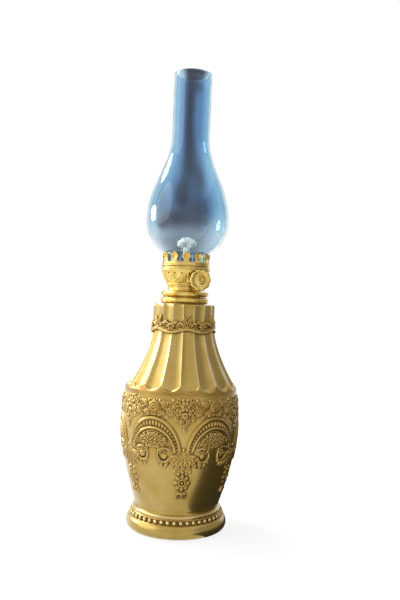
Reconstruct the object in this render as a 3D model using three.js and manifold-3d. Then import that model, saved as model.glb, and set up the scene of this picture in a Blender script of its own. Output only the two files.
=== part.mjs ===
// Kerosene table lamp: a fluted vase that holds the oil, a brass flat-wick burner and a blown glass chimney.
// Millimetres, +Z up. The origin is the centre of the foot's underside, and the wick knob faces -Y.
import * as THREE from "three";
import { mergeVertices } from "three/addons/utils/BufferGeometryUtils.js";
import Module from "manifold-3d";

const wasm = await Module();
wasm.setup();

// Gap between pieces that touch on the real lamp
const CLEARANCE = 0.3;

// Vase: a slip-cast body with a rolled foot, a full belly, a fluted shoulder and a straight neck
const BODY_TURN = -108.5;
const FOOT_RADIUS = 37.3;
const FOOT_ROLL_RADIUS = 4.7;
const FOOT_RING_WIDTH = 5;
const FOOT_RECESS = 3.5;
const HOLLOW_RADIUS = 33.8;
const HOLLOW_LOW = 9;
const HOLLOW_HIGH = 12;
const FILLET_RADIUS = 1.5;
const FILLET_HEIGHT = 14.6;
const WAIST_RADIUS = 31.2;
const WAIST_HEIGHT = 18.5;
const BELLY_RADIUS = 43.6;
const BELLY_HEIGHT = 76;
const BELLY_SWELL = 1.75;
const SHOULDER_RADIUS = 41.4;
const SHOULDER_HEIGHT = 104.3;
const SHOULDER_SWEEP = 1.6;
const NECK_RADIUS = 23;
const NECK_START = 150;
const NECK_TOP = 165.4;
const NECK_CHAMFER = 1.4;
const FLUTE_COUNT = 18;
const SHOULDER_FLUTE_DEPTH = 2.1;
const NECK_FLUTE_DEPTH = 1.1;
const SCALLOP_RISE = 3.5;
const SCALLOP_STEP = 0.7;
const BODY_WALL = 4.5;
const FLOOR_THICKNESS = 6;

// Cast ornament, repeated round the vase. Turns are in degrees from a ridge. Places are across the repeat
// and up: the garland's from the shoulder, the arches' and pendant's from the belly, the ribbon's from the
// neck's start.
const ORNAMENT_COUNT = 6;
const RELIEF = 1.1;
const BAND_RELIEF = 0.45;
const RELIEF_SINK = 0.4;
const PENDANT_TURN = 5.5;
const GARLAND_DROP = 4.3;
const GARLAND_WIDTH = 12;
const BOUQUET = [0, -11.8, -90, 13, 15];
const ROSES = [[10.2, -13.1, 3.4], [-10.2, -13.1, 3.4]];
const ARCH_ROSE = [-10.1, 4.7];
const ARCH_SPRING = -16;
const ARCH_FOOT = 5;
const ARCH_HALF_WIDTH = 20.2;
const ARCH_RISE = 26.3;
const ARCH_MOULDING = 3.4;
const ARCH_FIELD = [-6.5, 8.2];
const SCROLLS = [[14.1, -15.5, 5], [-14.1, -15.5, 5]];
const FAN_TOP = -13;
const FAN_LEAVES = [-140, -90, -40];
const FAN_LEAF = [14, 7];
const ROSETTE = [0, -34.5, 6.4];
const DROP = [0, -40.6, -90, 6, 4.4];
const TUFT_TURN = 7.5;
const RIBBON_DROP = 3.7;
const RIBBON_WAVE = 1.1;
const RIBBON_WIDTH = 3;
const NECK_ROSE = [-0.7, 3.2];
const NECK_LEAVES = [[0.3, -1.6, 74, 9.4, 3.2], [-0.3, -1.6, 106, 9.4, 3.2]];

// Collar: a threaded brass ring set into the neck with plaster
const SOCKET_RADIUS = 17.5;
const SOCKET_DEPTH = 9;
const PLASTER_THICKNESS = 1.7;
const COLLAR_WALL = 2;
const COLLAR_FLANGE_RADIUS = 18;
const COLLAR_FLANGE_HEIGHT = 4.8;

// Burner base: the screw cap that the rest of the burner stands on
const SHEET = 0.9;
const SCREW_LENGTH = 7.5;
const BASE_FLANGE_RADIUS = 17.8;
const BASE_FLANGE_HEIGHT = 4.2;
const BASE_SLOPE_HEIGHT = 0.8;
const BASE_THROAT_RADIUS = 12.8;
const BASE_THROAT_HEIGHT = 2.5;

// Bowl: the flared, pierced cup above the base
const BOWL_CUP_DEPTH = 3;
const VENT_RADIUS = 0.8;
const VENT_OFFSET = 8.5;
const BOWL_HEIGHT = 14.5;
const BOWL_RIM_RADIUS = 18.5;
const BOWL_RIM_BEAD = 0.7;
const BOWL_STEP_HEIGHT = 2.6;
const BOWL_STEP_RADIUS = 14.4;
const BOWL_BAND_HEIGHT = 2.2;
const AIR_HOLE_COUNT = 20;
const AIR_HOLE_RADIUS = 0.75;
const AIR_HOLE_DROP = 5.2;

// Crown: the ring of sprung prongs that grips the chimney
const PRONG_COUNT = 12;
const CROWN_TURN = -107;
const PRONG_WIDTH = 5.2;
const PRONG_HEIGHT = 7.4;
const PRONG_SHEET = 0.8;
const PRONG_FLARE = 0.9;
const CROWN_BAND_HEIGHT = 2.6;

// Wick, its tube and the feed that raises it
const WICK_WIDTH = 12;
const WICK_THICKNESS = 2.4;
const WICK_TAIL_DEPTH = 152;
const WICK_STAND = 7.1;
const TUFT_RADIUS = 7.6;
const TUFT_HEIGHT = 9.4;
const TUBE_SHEET = 0.5;
const TUBE_ABOVE_BASE = 21.5;
const TUBE_BELOW_BASE = 9;
const WHEEL_RADIUS = 3.2;
const WHEEL_ROOT_RADIUS = 2.4;
const WHEEL_TEETH = 12;
const WHEEL_THICKNESS = 1;
const WHEEL_OFFSET = 3;
const SHAFT_RADIUS = 1;
const SHAFT_ABOVE_BASE = 5;
const BOX_LENGTH = 11;
const BOX_WALL = 0.5;
const BOX_ROOM = 0.4;
const SLEEVE_WALL = 0.8;
const SLEEVE_LENGTH = 5.4;
const SLEEVE_INSET = 2.4;

// Knob: a stamped, lobed rosette on the end of the shaft
const KNOB_RADIUS = 8;
const KNOB_LOBES = 10;
const KNOB_LOBE_DEPTH = 0.6;
const KNOB_THICKNESS = 1.4;
const KNOB_NECK_RADIUS = 2.8;
const KNOB_NECK_LENGTH = 2.2;
const KNOB_HUB_RADIUS = 2.5;
const KNOB_HUB_HEIGHT = 1.5;
const KNOB_DISH = 0.7;

// Air plate: the pierced disc under the chimney
const AIR_PLATE_THICKNESS = 0.7;
const AIR_PLATE_DROP = 2.7;
const AIR_PLATE_HOLES = 16;
const AIR_PLATE_HOLE_RADIUS = 0.9;
const AIR_PLATE_HOLE_CIRCLE = 11.4;

// Chimney: a blown tube with a bulb low down
const CHIMNEY_FOOT_RADIUS = 15.8;
const CHIMNEY_LENGTH = 147;
const CHIMNEY_WALL = 1.6;
const BULB_RADIUS = 30.75;
const BULB_CENTRE = 36;
const BULB_SQUAT = 28;
const FLUE_RADIUS = 14.1;
const FLUE_START = 99;
const FLUE_SWEEP = 1.1;

// Facets: how finely round forms are drawn
const STEPS_PER_FLUTE = 4;
const LATHE_STEPS = 30;
const GLASS_STEPS = 28;
const KNOB_STEPS_PER_LOBE = 3;
const HOLE_STEPS = 6;
const ROSE_STEPS = 6;
const ARCH_STEPS = 8;
const MERGE_TOLERANCE = 1e-4;

// Places worked out from the sizes above
const SOCKET_FLOOR = NECK_TOP - SOCKET_DEPTH;
const COLLAR_SEAT = NECK_TOP + CLEARANCE;
const COLLAR_OUTER_RADIUS = SOCKET_RADIUS - PLASTER_THICKNESS - 2 * CLEARANCE;
const THREAD_RADIUS = COLLAR_OUTER_RADIUS - COLLAR_WALL;
const BURNER_SEAT = COLLAR_SEAT + COLLAR_FLANGE_HEIGHT + CLEARANCE;
const BASE_TOP = BASE_FLANGE_HEIGHT + BASE_SLOPE_HEIGHT + BASE_THROAT_HEIGHT;
const BOWL_SEAT = BASE_TOP + CLEARANCE;
const BOWL_TOP = BOWL_SEAT + BOWL_HEIGHT;
const BOWL_BAND_START = BOWL_TOP - BOWL_BAND_HEIGHT;
const CROWN_SEAT = BOWL_TOP + CLEARANCE;
const AIR_PLATE_SEAT = BOWL_TOP - AIR_PLATE_DROP - AIR_PLATE_THICKNESS;
const CHIMNEY_SEAT = AIR_PLATE_SEAT + AIR_PLATE_THICKNESS + CLEARANCE;
const CROWN_TOP = CROWN_SEAT + CROWN_BAND_HEIGHT + PRONG_HEIGHT;
const CHIMNEY_FOOT_LENGTH = CROWN_TOP - CHIMNEY_SEAT + CLEARANCE;
const TUBE_INNER_HALF = WICK_THICKNESS / 2 + CLEARANCE;
const TUBE_OUTER_HALF = TUBE_INNER_HALF + TUBE_SHEET;
const TUBE_OUTER_WIDTH = WICK_WIDTH + 2 * (CLEARANCE + TUBE_SHEET);
const TUBE_TOP = BASE_TOP + TUBE_ABOVE_BASE;
const SHAFT_X = TUBE_INNER_HALF + WHEEL_RADIUS;
const SHAFT_Z = BASE_TOP + SHAFT_ABOVE_BASE;
const SHAFT_HOLE_RADIUS = SHAFT_RADIUS + CLEARANCE;
const SLEEVE_RADIUS = SHAFT_HOLE_RADIUS + SLEEVE_WALL;

// A material of the part's own colour
function finish(color, roughness, metalness, extra = {}) {
  return new THREE.MeshStandardMaterial({ color, roughness, metalness, ...extra });
}

const GOLD_PAINT = finish(0xb08f45, 0.42, 0.85);
const PLASTER = finish(0xd9d4c8, 0.9, 0);
const BRASS = finish(0xd2a73c, 0.25, 1);
const INNER_BRASS = finish(0xa8873a, 0.4, 1);
const STEEL = finish(0x8d8a82, 0.4, 1);
const COTTON = finish(0xe9e4d6, 0.95, 0);
const BLUE_GLASS = finish(0x5f8bb0, 0.06, 0, { transparent: true, opacity: 0.45 });

// Polar point at a height
function polar(radius, angle, height) {
  return new THREE.Vector3(radius * Math.cos(angle), radius * Math.sin(angle), height);
}

// Points of an arc in a profile, centre (radius, height), angles in degrees from straight out
function arc(radius, height, size, from, to, steps) {
  return Array.from({ length: steps + 1 }, (_, i) => {
    const angle = THREE.MathUtils.degToRad(from + ((to - from) * i) / steps);
    return new THREE.Vector2(radius + size * Math.cos(angle), height + size * Math.sin(angle));
  });
}

// Points evenly round a circle in a flat outline
function circle(x, y, radius, steps) {
  return spaced(0, steps - 1, steps - 1).map((i) => {
    const angle = (2 * Math.PI * i) / steps;
    return new THREE.Vector2(x + radius * Math.cos(angle), y + radius * Math.sin(angle));
  });
}

// Values from one end to the other, both included
function spaced(from, to, steps) {
  return Array.from({ length: steps + 1 }, (_, i) => from + ((to - from) * i) / steps);
}

// A closed surface from rings of points, bottom to top. A ring of one point is a pole, and a ring may have
// twice as many points as the one below.
function ringGeometry(rings, closed = false) {
  const starts = [];
  const points = [];
  for (const ring of rings) {
    starts.push(points.length);
    points.push(...ring);
  }
  const faces = [];
  const spans = closed ? rings.length : rings.length - 1;
  for (let i = 0; i < spans; i++) {
    const next = (i + 1) % rings.length;
    const low = starts[i];
    const high = starts[next];
    const doubled = rings[next].length === 2 * rings[i].length;
    const count = doubled ? rings[i].length : Math.max(rings[i].length, rings[next].length);
    for (let j = 0; j < count; j++) {
      const k = (j + 1) % count;
      if (rings[i].length === 1) {
        faces.push(low, high + k, high + j);
      } else if (rings[next].length === 1) {
        faces.push(low + j, low + k, high);
      } else if (doubled) {
        const middle = high + 2 * j + 1;
        faces.push(low + j, low + k, middle, low + j, middle, high + 2 * j, low + k, high + 2 * k, middle);
      } else {
        faces.push(low + j, low + k, high + k, low + j, high + k, high + j);
      }
    }
  }
  return new THREE.BufferGeometry().setFromPoints(points).setIndex(faces);
}

// A geometry's surface as a solid that can be joined and cut, faces outward
function toSolid(geometry) {
  const bare = geometry.index ? geometry.toNonIndexed() : geometry.clone();
  bare.deleteAttribute("normal");
  bare.deleteAttribute("uv");
  const merged = mergeVertices(bare, MERGE_TOLERANCE);
  const triVerts = new Uint32Array(merged.index.array);
  const vertProperties = merged.attributes.position.array;
  const made = new wasm.Manifold(new wasm.Mesh({ numProp: 3, vertProperties, triVerts }));
  return made.volume() < 0 ? new wasm.Manifold(new wasm.Mesh({
    numProp: 3,
    vertProperties,
    triVerts: triVerts.slice().reverse(),
  })) : made;
}

// A solid's surface as a geometry to draw
function toGeometry(solid) {
  const mesh = solid.getMesh();
  const geometry = new THREE.BufferGeometry();
  geometry.setAttribute("position", new THREE.BufferAttribute(mesh.vertProperties, 3));
  geometry.setIndex(new THREE.BufferAttribute(mesh.triVerts, 1));
  geometry.computeVertexNormals();
  return geometry;
}

// A profile of (radius, height) points turned about the vertical axis
function turned(profile, steps = LATHE_STEPS) {
  return toSolid(new THREE.LatheGeometry(profile, steps).rotateX(Math.PI / 2));
}

// Profile points written as [radius, height] pairs, closed on themselves
function closedProfile(pairs) {
  const points = pairs.map(([radius, height]) => new THREE.Vector2(radius, height));
  return [...points, points[0].clone()];
}

// A box between two corners
function block(low, high) {
  const size = high.map((value, i) => value - low[i]);
  const centre = high.map((value, i) => (value + low[i]) / 2);
  return toSolid(new THREE.BoxGeometry(...size).translate(...centre));
}

// A round bar along Y at (x, z)
function barAlongY(radius, x, z, from, to, steps = LATHE_STEPS / 3) {
  const bar = new THREE.CylinderGeometry(radius, radius, to - from, steps);
  return toSolid(bar.translate(x, (from + to) / 2, z));
}

function named(name, solid, material) {
  const mesh = new THREE.Mesh(toGeometry(solid), material);
  mesh.name = name;
  return mesh;
}

// Outer radius of the vase, on the ridges of its flutes: a power curve each side of the belly, and a cove
// to the neck
function bodyRadius(height) {
  if (height <= BELLY_HEIGHT) {
    const share = (BELLY_HEIGHT - height) / (BELLY_HEIGHT - WAIST_HEIGHT);
    return BELLY_RADIUS - (BELLY_RADIUS - WAIST_RADIUS) * share ** BELLY_SWELL;
  }
  if (height <= SHOULDER_HEIGHT) {
    const share = (height - BELLY_HEIGHT) / (SHOULDER_HEIGHT - BELLY_HEIGHT);
    return BELLY_RADIUS - (BELLY_RADIUS - SHOULDER_RADIUS) * share ** 2;
  }
  const left = Math.max(0, (NECK_START - height) / (NECK_START - SHOULDER_HEIGHT));
  return NECK_RADIUS + (SHOULDER_RADIUS - NECK_RADIUS) * left ** SHOULDER_SWEEP;
}

// Flutes shallow out with the body's radius, from the shoulder to the neck
function fluteDepth(height) {
  const share = (bodyRadius(height) - NECK_RADIUS) / (SHOULDER_RADIUS - NECK_RADIUS);
  return THREE.MathUtils.lerp(NECK_FLUTE_DEPTH, SHOULDER_FLUTE_DEPTH, share);
}

// Profile of the foot from the rim of its recess to the waist
function footProfile() {
  const rollCentre = FOOT_RADIUS - FOOT_ROLL_RADIUS;
  const filletCentre = bodyRadius(WAIST_HEIGHT) + FILLET_RADIUS;
  const ringInner = rollCentre - FOOT_RING_WIDTH;
  return [
    new THREE.Vector2(ringInner - FOOT_RECESS, FOOT_RECESS),
    new THREE.Vector2(ringInner, 0),
    ...arc(rollCentre, FOOT_ROLL_RADIUS, FOOT_ROLL_RADIUS, -90, 50, 4),
    new THREE.Vector2(HOLLOW_RADIUS, HOLLOW_LOW),
    new THREE.Vector2(HOLLOW_RADIUS, HOLLOW_HIGH),
    ...arc(filletCentre, FILLET_HEIGHT, FILLET_RADIUS, -45, 90, 2),
  ];
}

// One ring round the vase. Its height and radius follow the place across each flute, 1 on a ridge and 0
// mid-flute, and the height also follows the angle.
function bodyRing(heightAt, radiusAt) {
  const columns = FLUTE_COUNT * STEPS_PER_FLUTE;
  return Array.from({ length: columns }, (_, i) => {
    const across = (i % STEPS_PER_FLUTE) / STEPS_PER_FLUTE;
    const ridge = (2 * across - 1) ** 2;
    const angle = (2 * Math.PI * i) / columns;
    const height = heightAt(ridge, angle);
    return polar(radiusAt(height, ridge), angle, height);
  });
}

// Rings of the ribbon that waves round the neck, over the flutes
function ribbonRings(floor) {
  const tuft = THREE.MathUtils.degToRad(TUFT_TURN);
  const height = NECK_START - RIBBON_DROP;
  const middle = (_, angle) => height + RIBBON_WAVE * Math.cos(ORNAMENT_COUNT * (angle - tuft));
  return [
    bodyRing((ridge, angle) => middle(ridge, angle) - RIBBON_WIDTH / 2, floor),
    bodyRing(middle, (up) => bodyRadius(up) + RELIEF),
    bodyRing((ridge, angle) => middle(ridge, angle) + RIBBON_WIDTH / 2, floor),
  ];
}

// Rings of the fluted shoulder and neck, from the scalloped lip to the chamfered top edge
function flutedRings() {
  const lip = (ridge) => SHOULDER_HEIGHT + SCALLOP_RISE * ridge;
  const floor = (height, ridge) => bodyRadius(height) - fluteDepth(height) * (1 - ridge);
  const edge = NECK_TOP - NECK_CHAMFER;
  const ribbonLow = NECK_START - RIBBON_DROP - RIBBON_WAVE - RIBBON_WIDTH;
  const flutes = spaced(0, 1, 3).map((share) => (
    bodyRing((ridge) => THREE.MathUtils.lerp(lip(ridge) + SCALLOP_STEP, ribbonLow, share ** 1.1), floor)
  ));
  return [
    bodyRing(lip, bodyRadius),
    ...flutes,
    ...ribbonRings(floor),
    bodyRing(() => edge, floor),
    bodyRing(() => NECK_TOP, (height, ridge) => floor(height, ridge) - NECK_CHAMFER),
  ];
}

// Hollow for the oil, a throat under the socket, and the socket that the collar is plastered into
function oilSpace() {
  const floor = FOOT_RECESS + FLOOR_THICKNESS;
  const throat = THREAD_RADIUS + CLEARANCE;
  const wall = BODY_WALL + SHOULDER_FLUTE_DEPTH;
  const innerRadius = (height) => Math.max(throat, bodyRadius(height) - wall);
  const lowest = Math.max(WAIST_HEIGHT, floor + BODY_WALL);
  const profile = [
    [0, floor],
    [innerRadius(lowest) - BODY_WALL, floor],
    ...spaced(lowest, NECK_START - 2 * BODY_WALL, 8).map((height) => [innerRadius(height), height]),
    [throat, NECK_START],
    [throat, SOCKET_FLOOR],
    [SOCKET_RADIUS, SOCKET_FLOOR],
    [SOCKET_RADIUS, NECK_TOP + SOCKET_DEPTH],
    [0, NECK_TOP + SOCKET_DEPTH],
  ];
  return turned(profile.map(([radius, height]) => new THREE.Vector2(radius, height)), LATHE_STEPS);
}

// Point on the ornament's ground: across from the repeat's axis, up from the ground's base, and proud of
// the vase
function place(ground, across, up, proud) {
  const height = ground.base + up;
  return polar(bodyRadius(height) + proud, ground.turn + across / ground.radius, height);
}

// Round boss: its foot inside the wall, a shoulder and a top
function boss(ground, [across, up, radius]) {
  const ring = (share, proud) => circle(across, up, radius * share, ROSE_STEPS)
    .map((point) => place(ground, point.x, point.y, proud));
  return toSolid(ringGeometry([
    [place(ground, across, up, -2 * ground.sink)],
    ring(1, -ground.sink),
    ring(0.7, 0.8 * RELIEF),
    [place(ground, across, up, RELIEF)],
  ]));
}

// Pointed leaf from its stem at an angle, with a crest over its widest place
function leaf(ground, [across, up, angle, span, width]) {
  const turn = THREE.MathUtils.degToRad(angle);
  const at = (along, aside, proud) => place(
    ground,
    across + along * Math.cos(turn) - aside * Math.sin(turn),
    up + along * Math.sin(turn) + aside * Math.cos(turn),
    proud,
  );
  const middle = span / 2;
  const outline = [[0, 0], [middle, -width / 2], [span, 0], [middle, width / 2]];
  return toSolid(ringGeometry([
    [at(middle, 0, -2 * ground.sink)],
    outline.map(([along, aside]) => at(along, aside, -ground.sink)),
    [at(middle, 0, RELIEF)],
  ]));
}

// Three-sided moulding over an elliptical arch, run out to a point at both feet
function arch(ground, across) {
  const spring = Math.asin(ARCH_FOOT / ARCH_RISE);
  const at = (angle, aside, proud) => place(
    ground,
    across + (ARCH_HALF_WIDTH + aside) * Math.cos(angle),
    ARCH_SPRING + (ARCH_RISE + aside) * Math.sin(angle),
    proud,
  );
  const rings = spaced(spring, Math.PI - spring, ARCH_STEPS).map((angle) => [
    at(angle, -ARCH_MOULDING / 2, -ground.sink),
    at(angle, ARCH_MOULDING / 2, -ground.sink),
    at(angle, 0, RELIEF),
  ]);
  const end = (angle) => [at(angle, 0, -ground.sink)];
  return toSolid(ringGeometry([end(spring / 2), ...rings, end(Math.PI - spring / 2)]));
}

// Arches, roses, pendants and the neck's leaves, as solids that stand in the vase's wall
function ornament() {
  const bellyRepeat = (2 * Math.PI * BELLY_RADIUS) / ORNAMENT_COUNT;
  const neckRepeat = (2 * Math.PI * NECK_RADIUS) / ORNAMENT_COUNT;
  const forms = [];
  for (let i = 0; i < ORNAMENT_COUNT; i++) {
    const turn = (360 * i) / ORNAMENT_COUNT;
    const pendant = THREE.MathUtils.degToRad(turn + PENDANT_TURN);
    const tuft = THREE.MathUtils.degToRad(turn + TUFT_TURN);
    const garland = { base: SHOULDER_HEIGHT, turn: pendant, radius: BELLY_RADIUS, sink: RELIEF_SINK };
    const belly = { ...garland, base: BELLY_HEIGHT };
    const neck = { base: NECK_START, turn: tuft, radius: NECK_RADIUS, sink: RELIEF_SINK + NECK_FLUTE_DEPTH };
    forms.push(
      boss(garland, [bellyRepeat / 2, ...ARCH_ROSE]),
      leaf(garland, BOUQUET),
      ...ROSES.map((rose) => boss(garland, rose)),
      arch(belly, bellyRepeat / 2),
      boss(belly, [bellyRepeat / 2, ...ARCH_FIELD]),
      ...SCROLLS.map((scroll) => boss(belly, scroll)),
      ...FAN_LEAVES.map((angle) => leaf(belly, [0, FAN_TOP, angle, ...FAN_LEAF])),
      boss(belly, ROSETTE),
      leaf(belly, DROP),
      boss(neck, [neckRepeat / 2, ...NECK_ROSE]),
      ...NECK_LEAVES.map((spray) => leaf(neck, spray)),
    );
  }
  return wasm.Manifold.union(forms);
}

function vase() {
  const round = (radius, height) => circle(0, 0, radius, (FLUTE_COUNT * STEPS_PER_FLUTE) / 2)
    .map((point) => new THREE.Vector3(point.x, point.y, height));
  const bevel = 3 * BAND_RELIEF;
  const garlandHigh = SHOULDER_HEIGHT - GARLAND_DROP;
  const garlandLow = garlandHigh - GARLAND_WIDTH;
  const raised = [garlandLow + bevel, garlandHigh - bevel];
  const rings = [
    [new THREE.Vector3(0, 0, FOOT_RECESS)],
    ...footProfile().map((point) => round(point.x, point.y)),
    ...spaced(WAIST_HEIGHT, BELLY_HEIGHT, 5).map((height) => round(bodyRadius(height), height)),
    round(bodyRadius(garlandLow), garlandLow),
    ...raised.map((height) => round(bodyRadius(height) + BAND_RELIEF, height)),
    round(bodyRadius(garlandHigh), garlandHigh),
    ...flutedRings(),
    [new THREE.Vector3(0, 0, NECK_TOP)],
  ];
  return toSolid(ringGeometry(rings)).add(ornament()).subtract(oilSpace());
}

function collarPlaster() {
  const inner = COLLAR_OUTER_RADIUS + CLEARANCE;
  const outer = SOCKET_RADIUS - CLEARANCE;
  const low = SOCKET_FLOOR + CLEARANCE;
  const high = NECK_TOP;
  return turned(closedProfile([[inner, low], [outer, low], [outer, high], [inner, high]]));
}

// Threaded ring with a rounded flange that rests on the neck
function neckCollar() {
  const low = SOCKET_FLOOR + CLEARANCE;
  const round = COLLAR_FLANGE_HEIGHT / 2;
  const lip = arc(COLLAR_FLANGE_RADIUS - round, COLLAR_SEAT + round, round, -90, 90, 4);
  const pairs = [
    [THREAD_RADIUS, low],
    [COLLAR_OUTER_RADIUS, low],
    [COLLAR_OUTER_RADIUS, COLLAR_SEAT],
    ...lip.map((point) => [point.x, point.y]),
    [THREAD_RADIUS, COLLAR_SEAT + COLLAR_FLANGE_HEIGHT],
  ];
  return turned(closedProfile(pairs));
}

// Opening that the wick tube passes through, between two heights
function tubeOpening(low, high) {
  const halfX = TUBE_OUTER_HALF + CLEARANCE;
  const halfY = TUBE_OUTER_WIDTH / 2 + CLEARANCE;
  return block([-halfX, -halfY, low], [halfX, halfY, high]);
}

// Spun screw cap, open through the middle: screw shell, rounded flange, sloping shoulder and throat
function burnerBase() {
  const screw = THREAD_RADIUS - CLEARANCE;
  const round = BASE_FLANGE_HEIGHT / 2;
  const lip = arc(BASE_FLANGE_RADIUS - round, round, round, -90, 90, 4);
  const slopeTop = BASE_FLANGE_HEIGHT + BASE_SLOPE_HEIGHT;
  const flangeInner = BASE_FLANGE_RADIUS - round;
  return turned(closedProfile([
    [screw - SHEET, -SCREW_LENGTH],
    [screw, -SCREW_LENGTH],
    [screw, 0],
    ...lip.map((point) => [point.x, point.y]),
    [BASE_THROAT_RADIUS, slopeTop],
    [BASE_THROAT_RADIUS, BASE_TOP],
    [BASE_THROAT_RADIUS - SHEET, BASE_TOP],
    [BASE_THROAT_RADIUS - SHEET, slopeTop - SHEET],
    [flangeInner, BASE_FLANGE_HEIGHT - SHEET],
    [flangeInner, SHEET],
    [screw - SHEET, SHEET],
  ]));
}

// Outer radius of the bowl's flared wall: a quarter-sine swell from the step to the rim band
function bowlRadius(height) {
  const start = BOWL_SEAT + BOWL_STEP_HEIGHT;
  const share = THREE.MathUtils.clamp((height - start) / (BOWL_BAND_START - start), 0, 1);
  const foot = BOWL_STEP_RADIUS - SHEET / 2;
  return foot + (BOWL_RIM_RADIUS - BOWL_RIM_BEAD - foot) * Math.sin((share * Math.PI) / 2);
}

// Flared cup with a floor that nests in the base's throat, a stepped foot, pierced sides and a beaded rim
function burnerBowl() {
  const cup = BASE_THROAT_RADIUS - SHEET - CLEARANCE;
  const floor = BOWL_SEAT - BOWL_CUP_DEPTH;
  const step = BOWL_SEAT + BOWL_STEP_HEIGHT;
  const wall = spaced(step, BOWL_BAND_START, 4);
  const beadCentre = BOWL_RIM_RADIUS - BOWL_RIM_BEAD;
  const rimBead = arc(beadCentre, BOWL_BAND_START + BOWL_RIM_BEAD, BOWL_RIM_BEAD, -60, 75, 2);
  const bandRadius = BOWL_RIM_RADIUS - BOWL_RIM_BEAD;
  const pairs = [
    [0, floor],
    [cup, floor],
    [cup, BOWL_SEAT],
    [BASE_THROAT_RADIUS, BOWL_SEAT],
    [BASE_THROAT_RADIUS, BOWL_SEAT + SHEET],
    [BOWL_STEP_RADIUS, step - 1.5 * SHEET],
    [BOWL_STEP_RADIUS, step - SHEET / 2],
    ...wall.map((height) => [bowlRadius(height), height]),
    ...rimBead.map((point) => [point.x, point.y]),
    [bandRadius, BOWL_TOP],
    [bandRadius - SHEET, BOWL_TOP],
    ...wall.reverse().map((height) => [bowlRadius(height) - SHEET, height]),
    [cup - SHEET, BOWL_SEAT],
    [cup - SHEET, floor + SHEET],
    [0, floor + SHEET],
  ];
  const shell = turned(pairs.map(([radius, height]) => new THREE.Vector2(radius, height)));
  const holes = spaced(0, AIR_HOLE_COUNT - 1, AIR_HOLE_COUNT - 1).map((i) => {
    const angle = (2 * Math.PI * (i + 0.5)) / AIR_HOLE_COUNT;
    const drill = new THREE.CylinderGeometry(AIR_HOLE_RADIUS, AIR_HOLE_RADIUS, 8 * SHEET, HOLE_STEPS);
    const height = BOWL_TOP - AIR_HOLE_DROP;
    return toSolid(drill.rotateZ(Math.PI / 2).translate(bowlRadius(height), 0, height).rotateZ(angle));
  });
  const vent = new THREE.CylinderGeometry(VENT_RADIUS, VENT_RADIUS, 4 * SHEET, HOLE_STEPS);
  vent.rotateX(Math.PI / 2);
  const sleeveRoom = SLEEVE_RADIUS + CLEARANCE;
  const sleeveHole = barAlongY(sleeveRoom, SHAFT_X, SHAFT_Z, -BOWL_RIM_RADIUS, -TUBE_OUTER_WIDTH / 2);
  return shell
    .subtract(wasm.Manifold.union(holes))
    .subtract(sleeveHole)
    .subtract(tubeOpening(floor - SHEET, floor + 2 * SHEET))
    .subtract(toSolid(vent.translate(-VENT_OFFSET, 0, floor)));
}

// Cut between two prongs: a round-bottomed slot that opens out at the top, so that each prong has a round end
function prongSlot() {
  const pitch = (2 * Math.PI * (CHIMNEY_FOOT_RADIUS + CLEARANCE + PRONG_SHEET)) / PRONG_COUNT;
  const half = (pitch - PRONG_WIDTH) / 2;
  const round = PRONG_WIDTH / 2;
  const bottom = CROWN_SEAT + CROWN_BAND_HEIGHT;
  const top = CROWN_TOP;
  const outline = new THREE.Shape();
  outline.moveTo(-half, bottom + half);
  outline.absarc(0, bottom + half, half, Math.PI, 2 * Math.PI, false);
  outline.lineTo(half, top - round);
  outline.absarc(half + round, top - round, round, Math.PI, Math.PI / 2, true);
  outline.lineTo(half + round, top + round);
  outline.lineTo(-half - round, top + round);
  outline.lineTo(-half - round, top);
  outline.absarc(-half - round, top - round, round, Math.PI / 2, 0, true);
  const reach = BOWL_RIM_RADIUS + PRONG_FLARE + SHEET;
  const cut = new THREE.ExtrudeGeometry(outline, { depth: reach, bevelEnabled: false, curveSegments: 2 });
  return cut.rotateX(Math.PI / 2).rotateZ(Math.PI / 2);
}

// Band and prongs: the prongs lean in to grip the chimney's foot, swell outward and curl back at their tips
function chimneyCrown() {
  const band = BOWL_RIM_RADIUS - BOWL_RIM_BEAD;
  const grip = CHIMNEY_FOOT_RADIUS + CLEARANCE + PRONG_SHEET;
  const bandTop = CROWN_SEAT + CROWN_BAND_HEIGHT;
  const up = (share) => bandTop + PRONG_HEIGHT * share;
  const outer = [
    [band, CROWN_SEAT],
    [band, bandTop],
    [grip, up(0.2)],
    [grip + PRONG_FLARE, up(0.6)],
    [grip + PRONG_FLARE / 2, up(1)],
  ];
  const inner = outer.map(([radius, height]) => [radius - PRONG_SHEET, height]).reverse();
  const shell = turned(closedProfile([...outer, ...inner]), PRONG_COUNT * 2);
  const slots = spaced(0, PRONG_COUNT - 1, PRONG_COUNT - 1).map((i) => {
    const angle = (2 * Math.PI * (i + 0.5)) / PRONG_COUNT;
    return toSolid(prongSlot().rotateZ(angle));
  });
  return shell.subtract(wasm.Manifold.union(slots));
}

// Pierced disc with the wick slot, resting inside the bowl
function airPlate() {
  const radius = bowlRadius(AIR_PLATE_SEAT) - SHEET - CLEARANCE;
  const outline = new THREE.Shape(circle(0, 0, radius, LATHE_STEPS));
  for (const i of spaced(0, AIR_PLATE_HOLES - 1, AIR_PLATE_HOLES - 1)) {
    const place = polar(AIR_PLATE_HOLE_CIRCLE, (2 * Math.PI * (i + 0.5)) / AIR_PLATE_HOLES, 0);
    outline.holes.push(new THREE.Path(circle(place.x, place.y, AIR_PLATE_HOLE_RADIUS, HOLE_STEPS)));
  }
  const options = { depth: AIR_PLATE_THICKNESS, bevelEnabled: false };
  const plate = toSolid(new THREE.ExtrudeGeometry(outline, options).translate(0, 0, AIR_PLATE_SEAT));
  return plate.subtract(tubeOpening(AIR_PLATE_SEAT - SHEET, CHIMNEY_SEAT));
}

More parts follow.
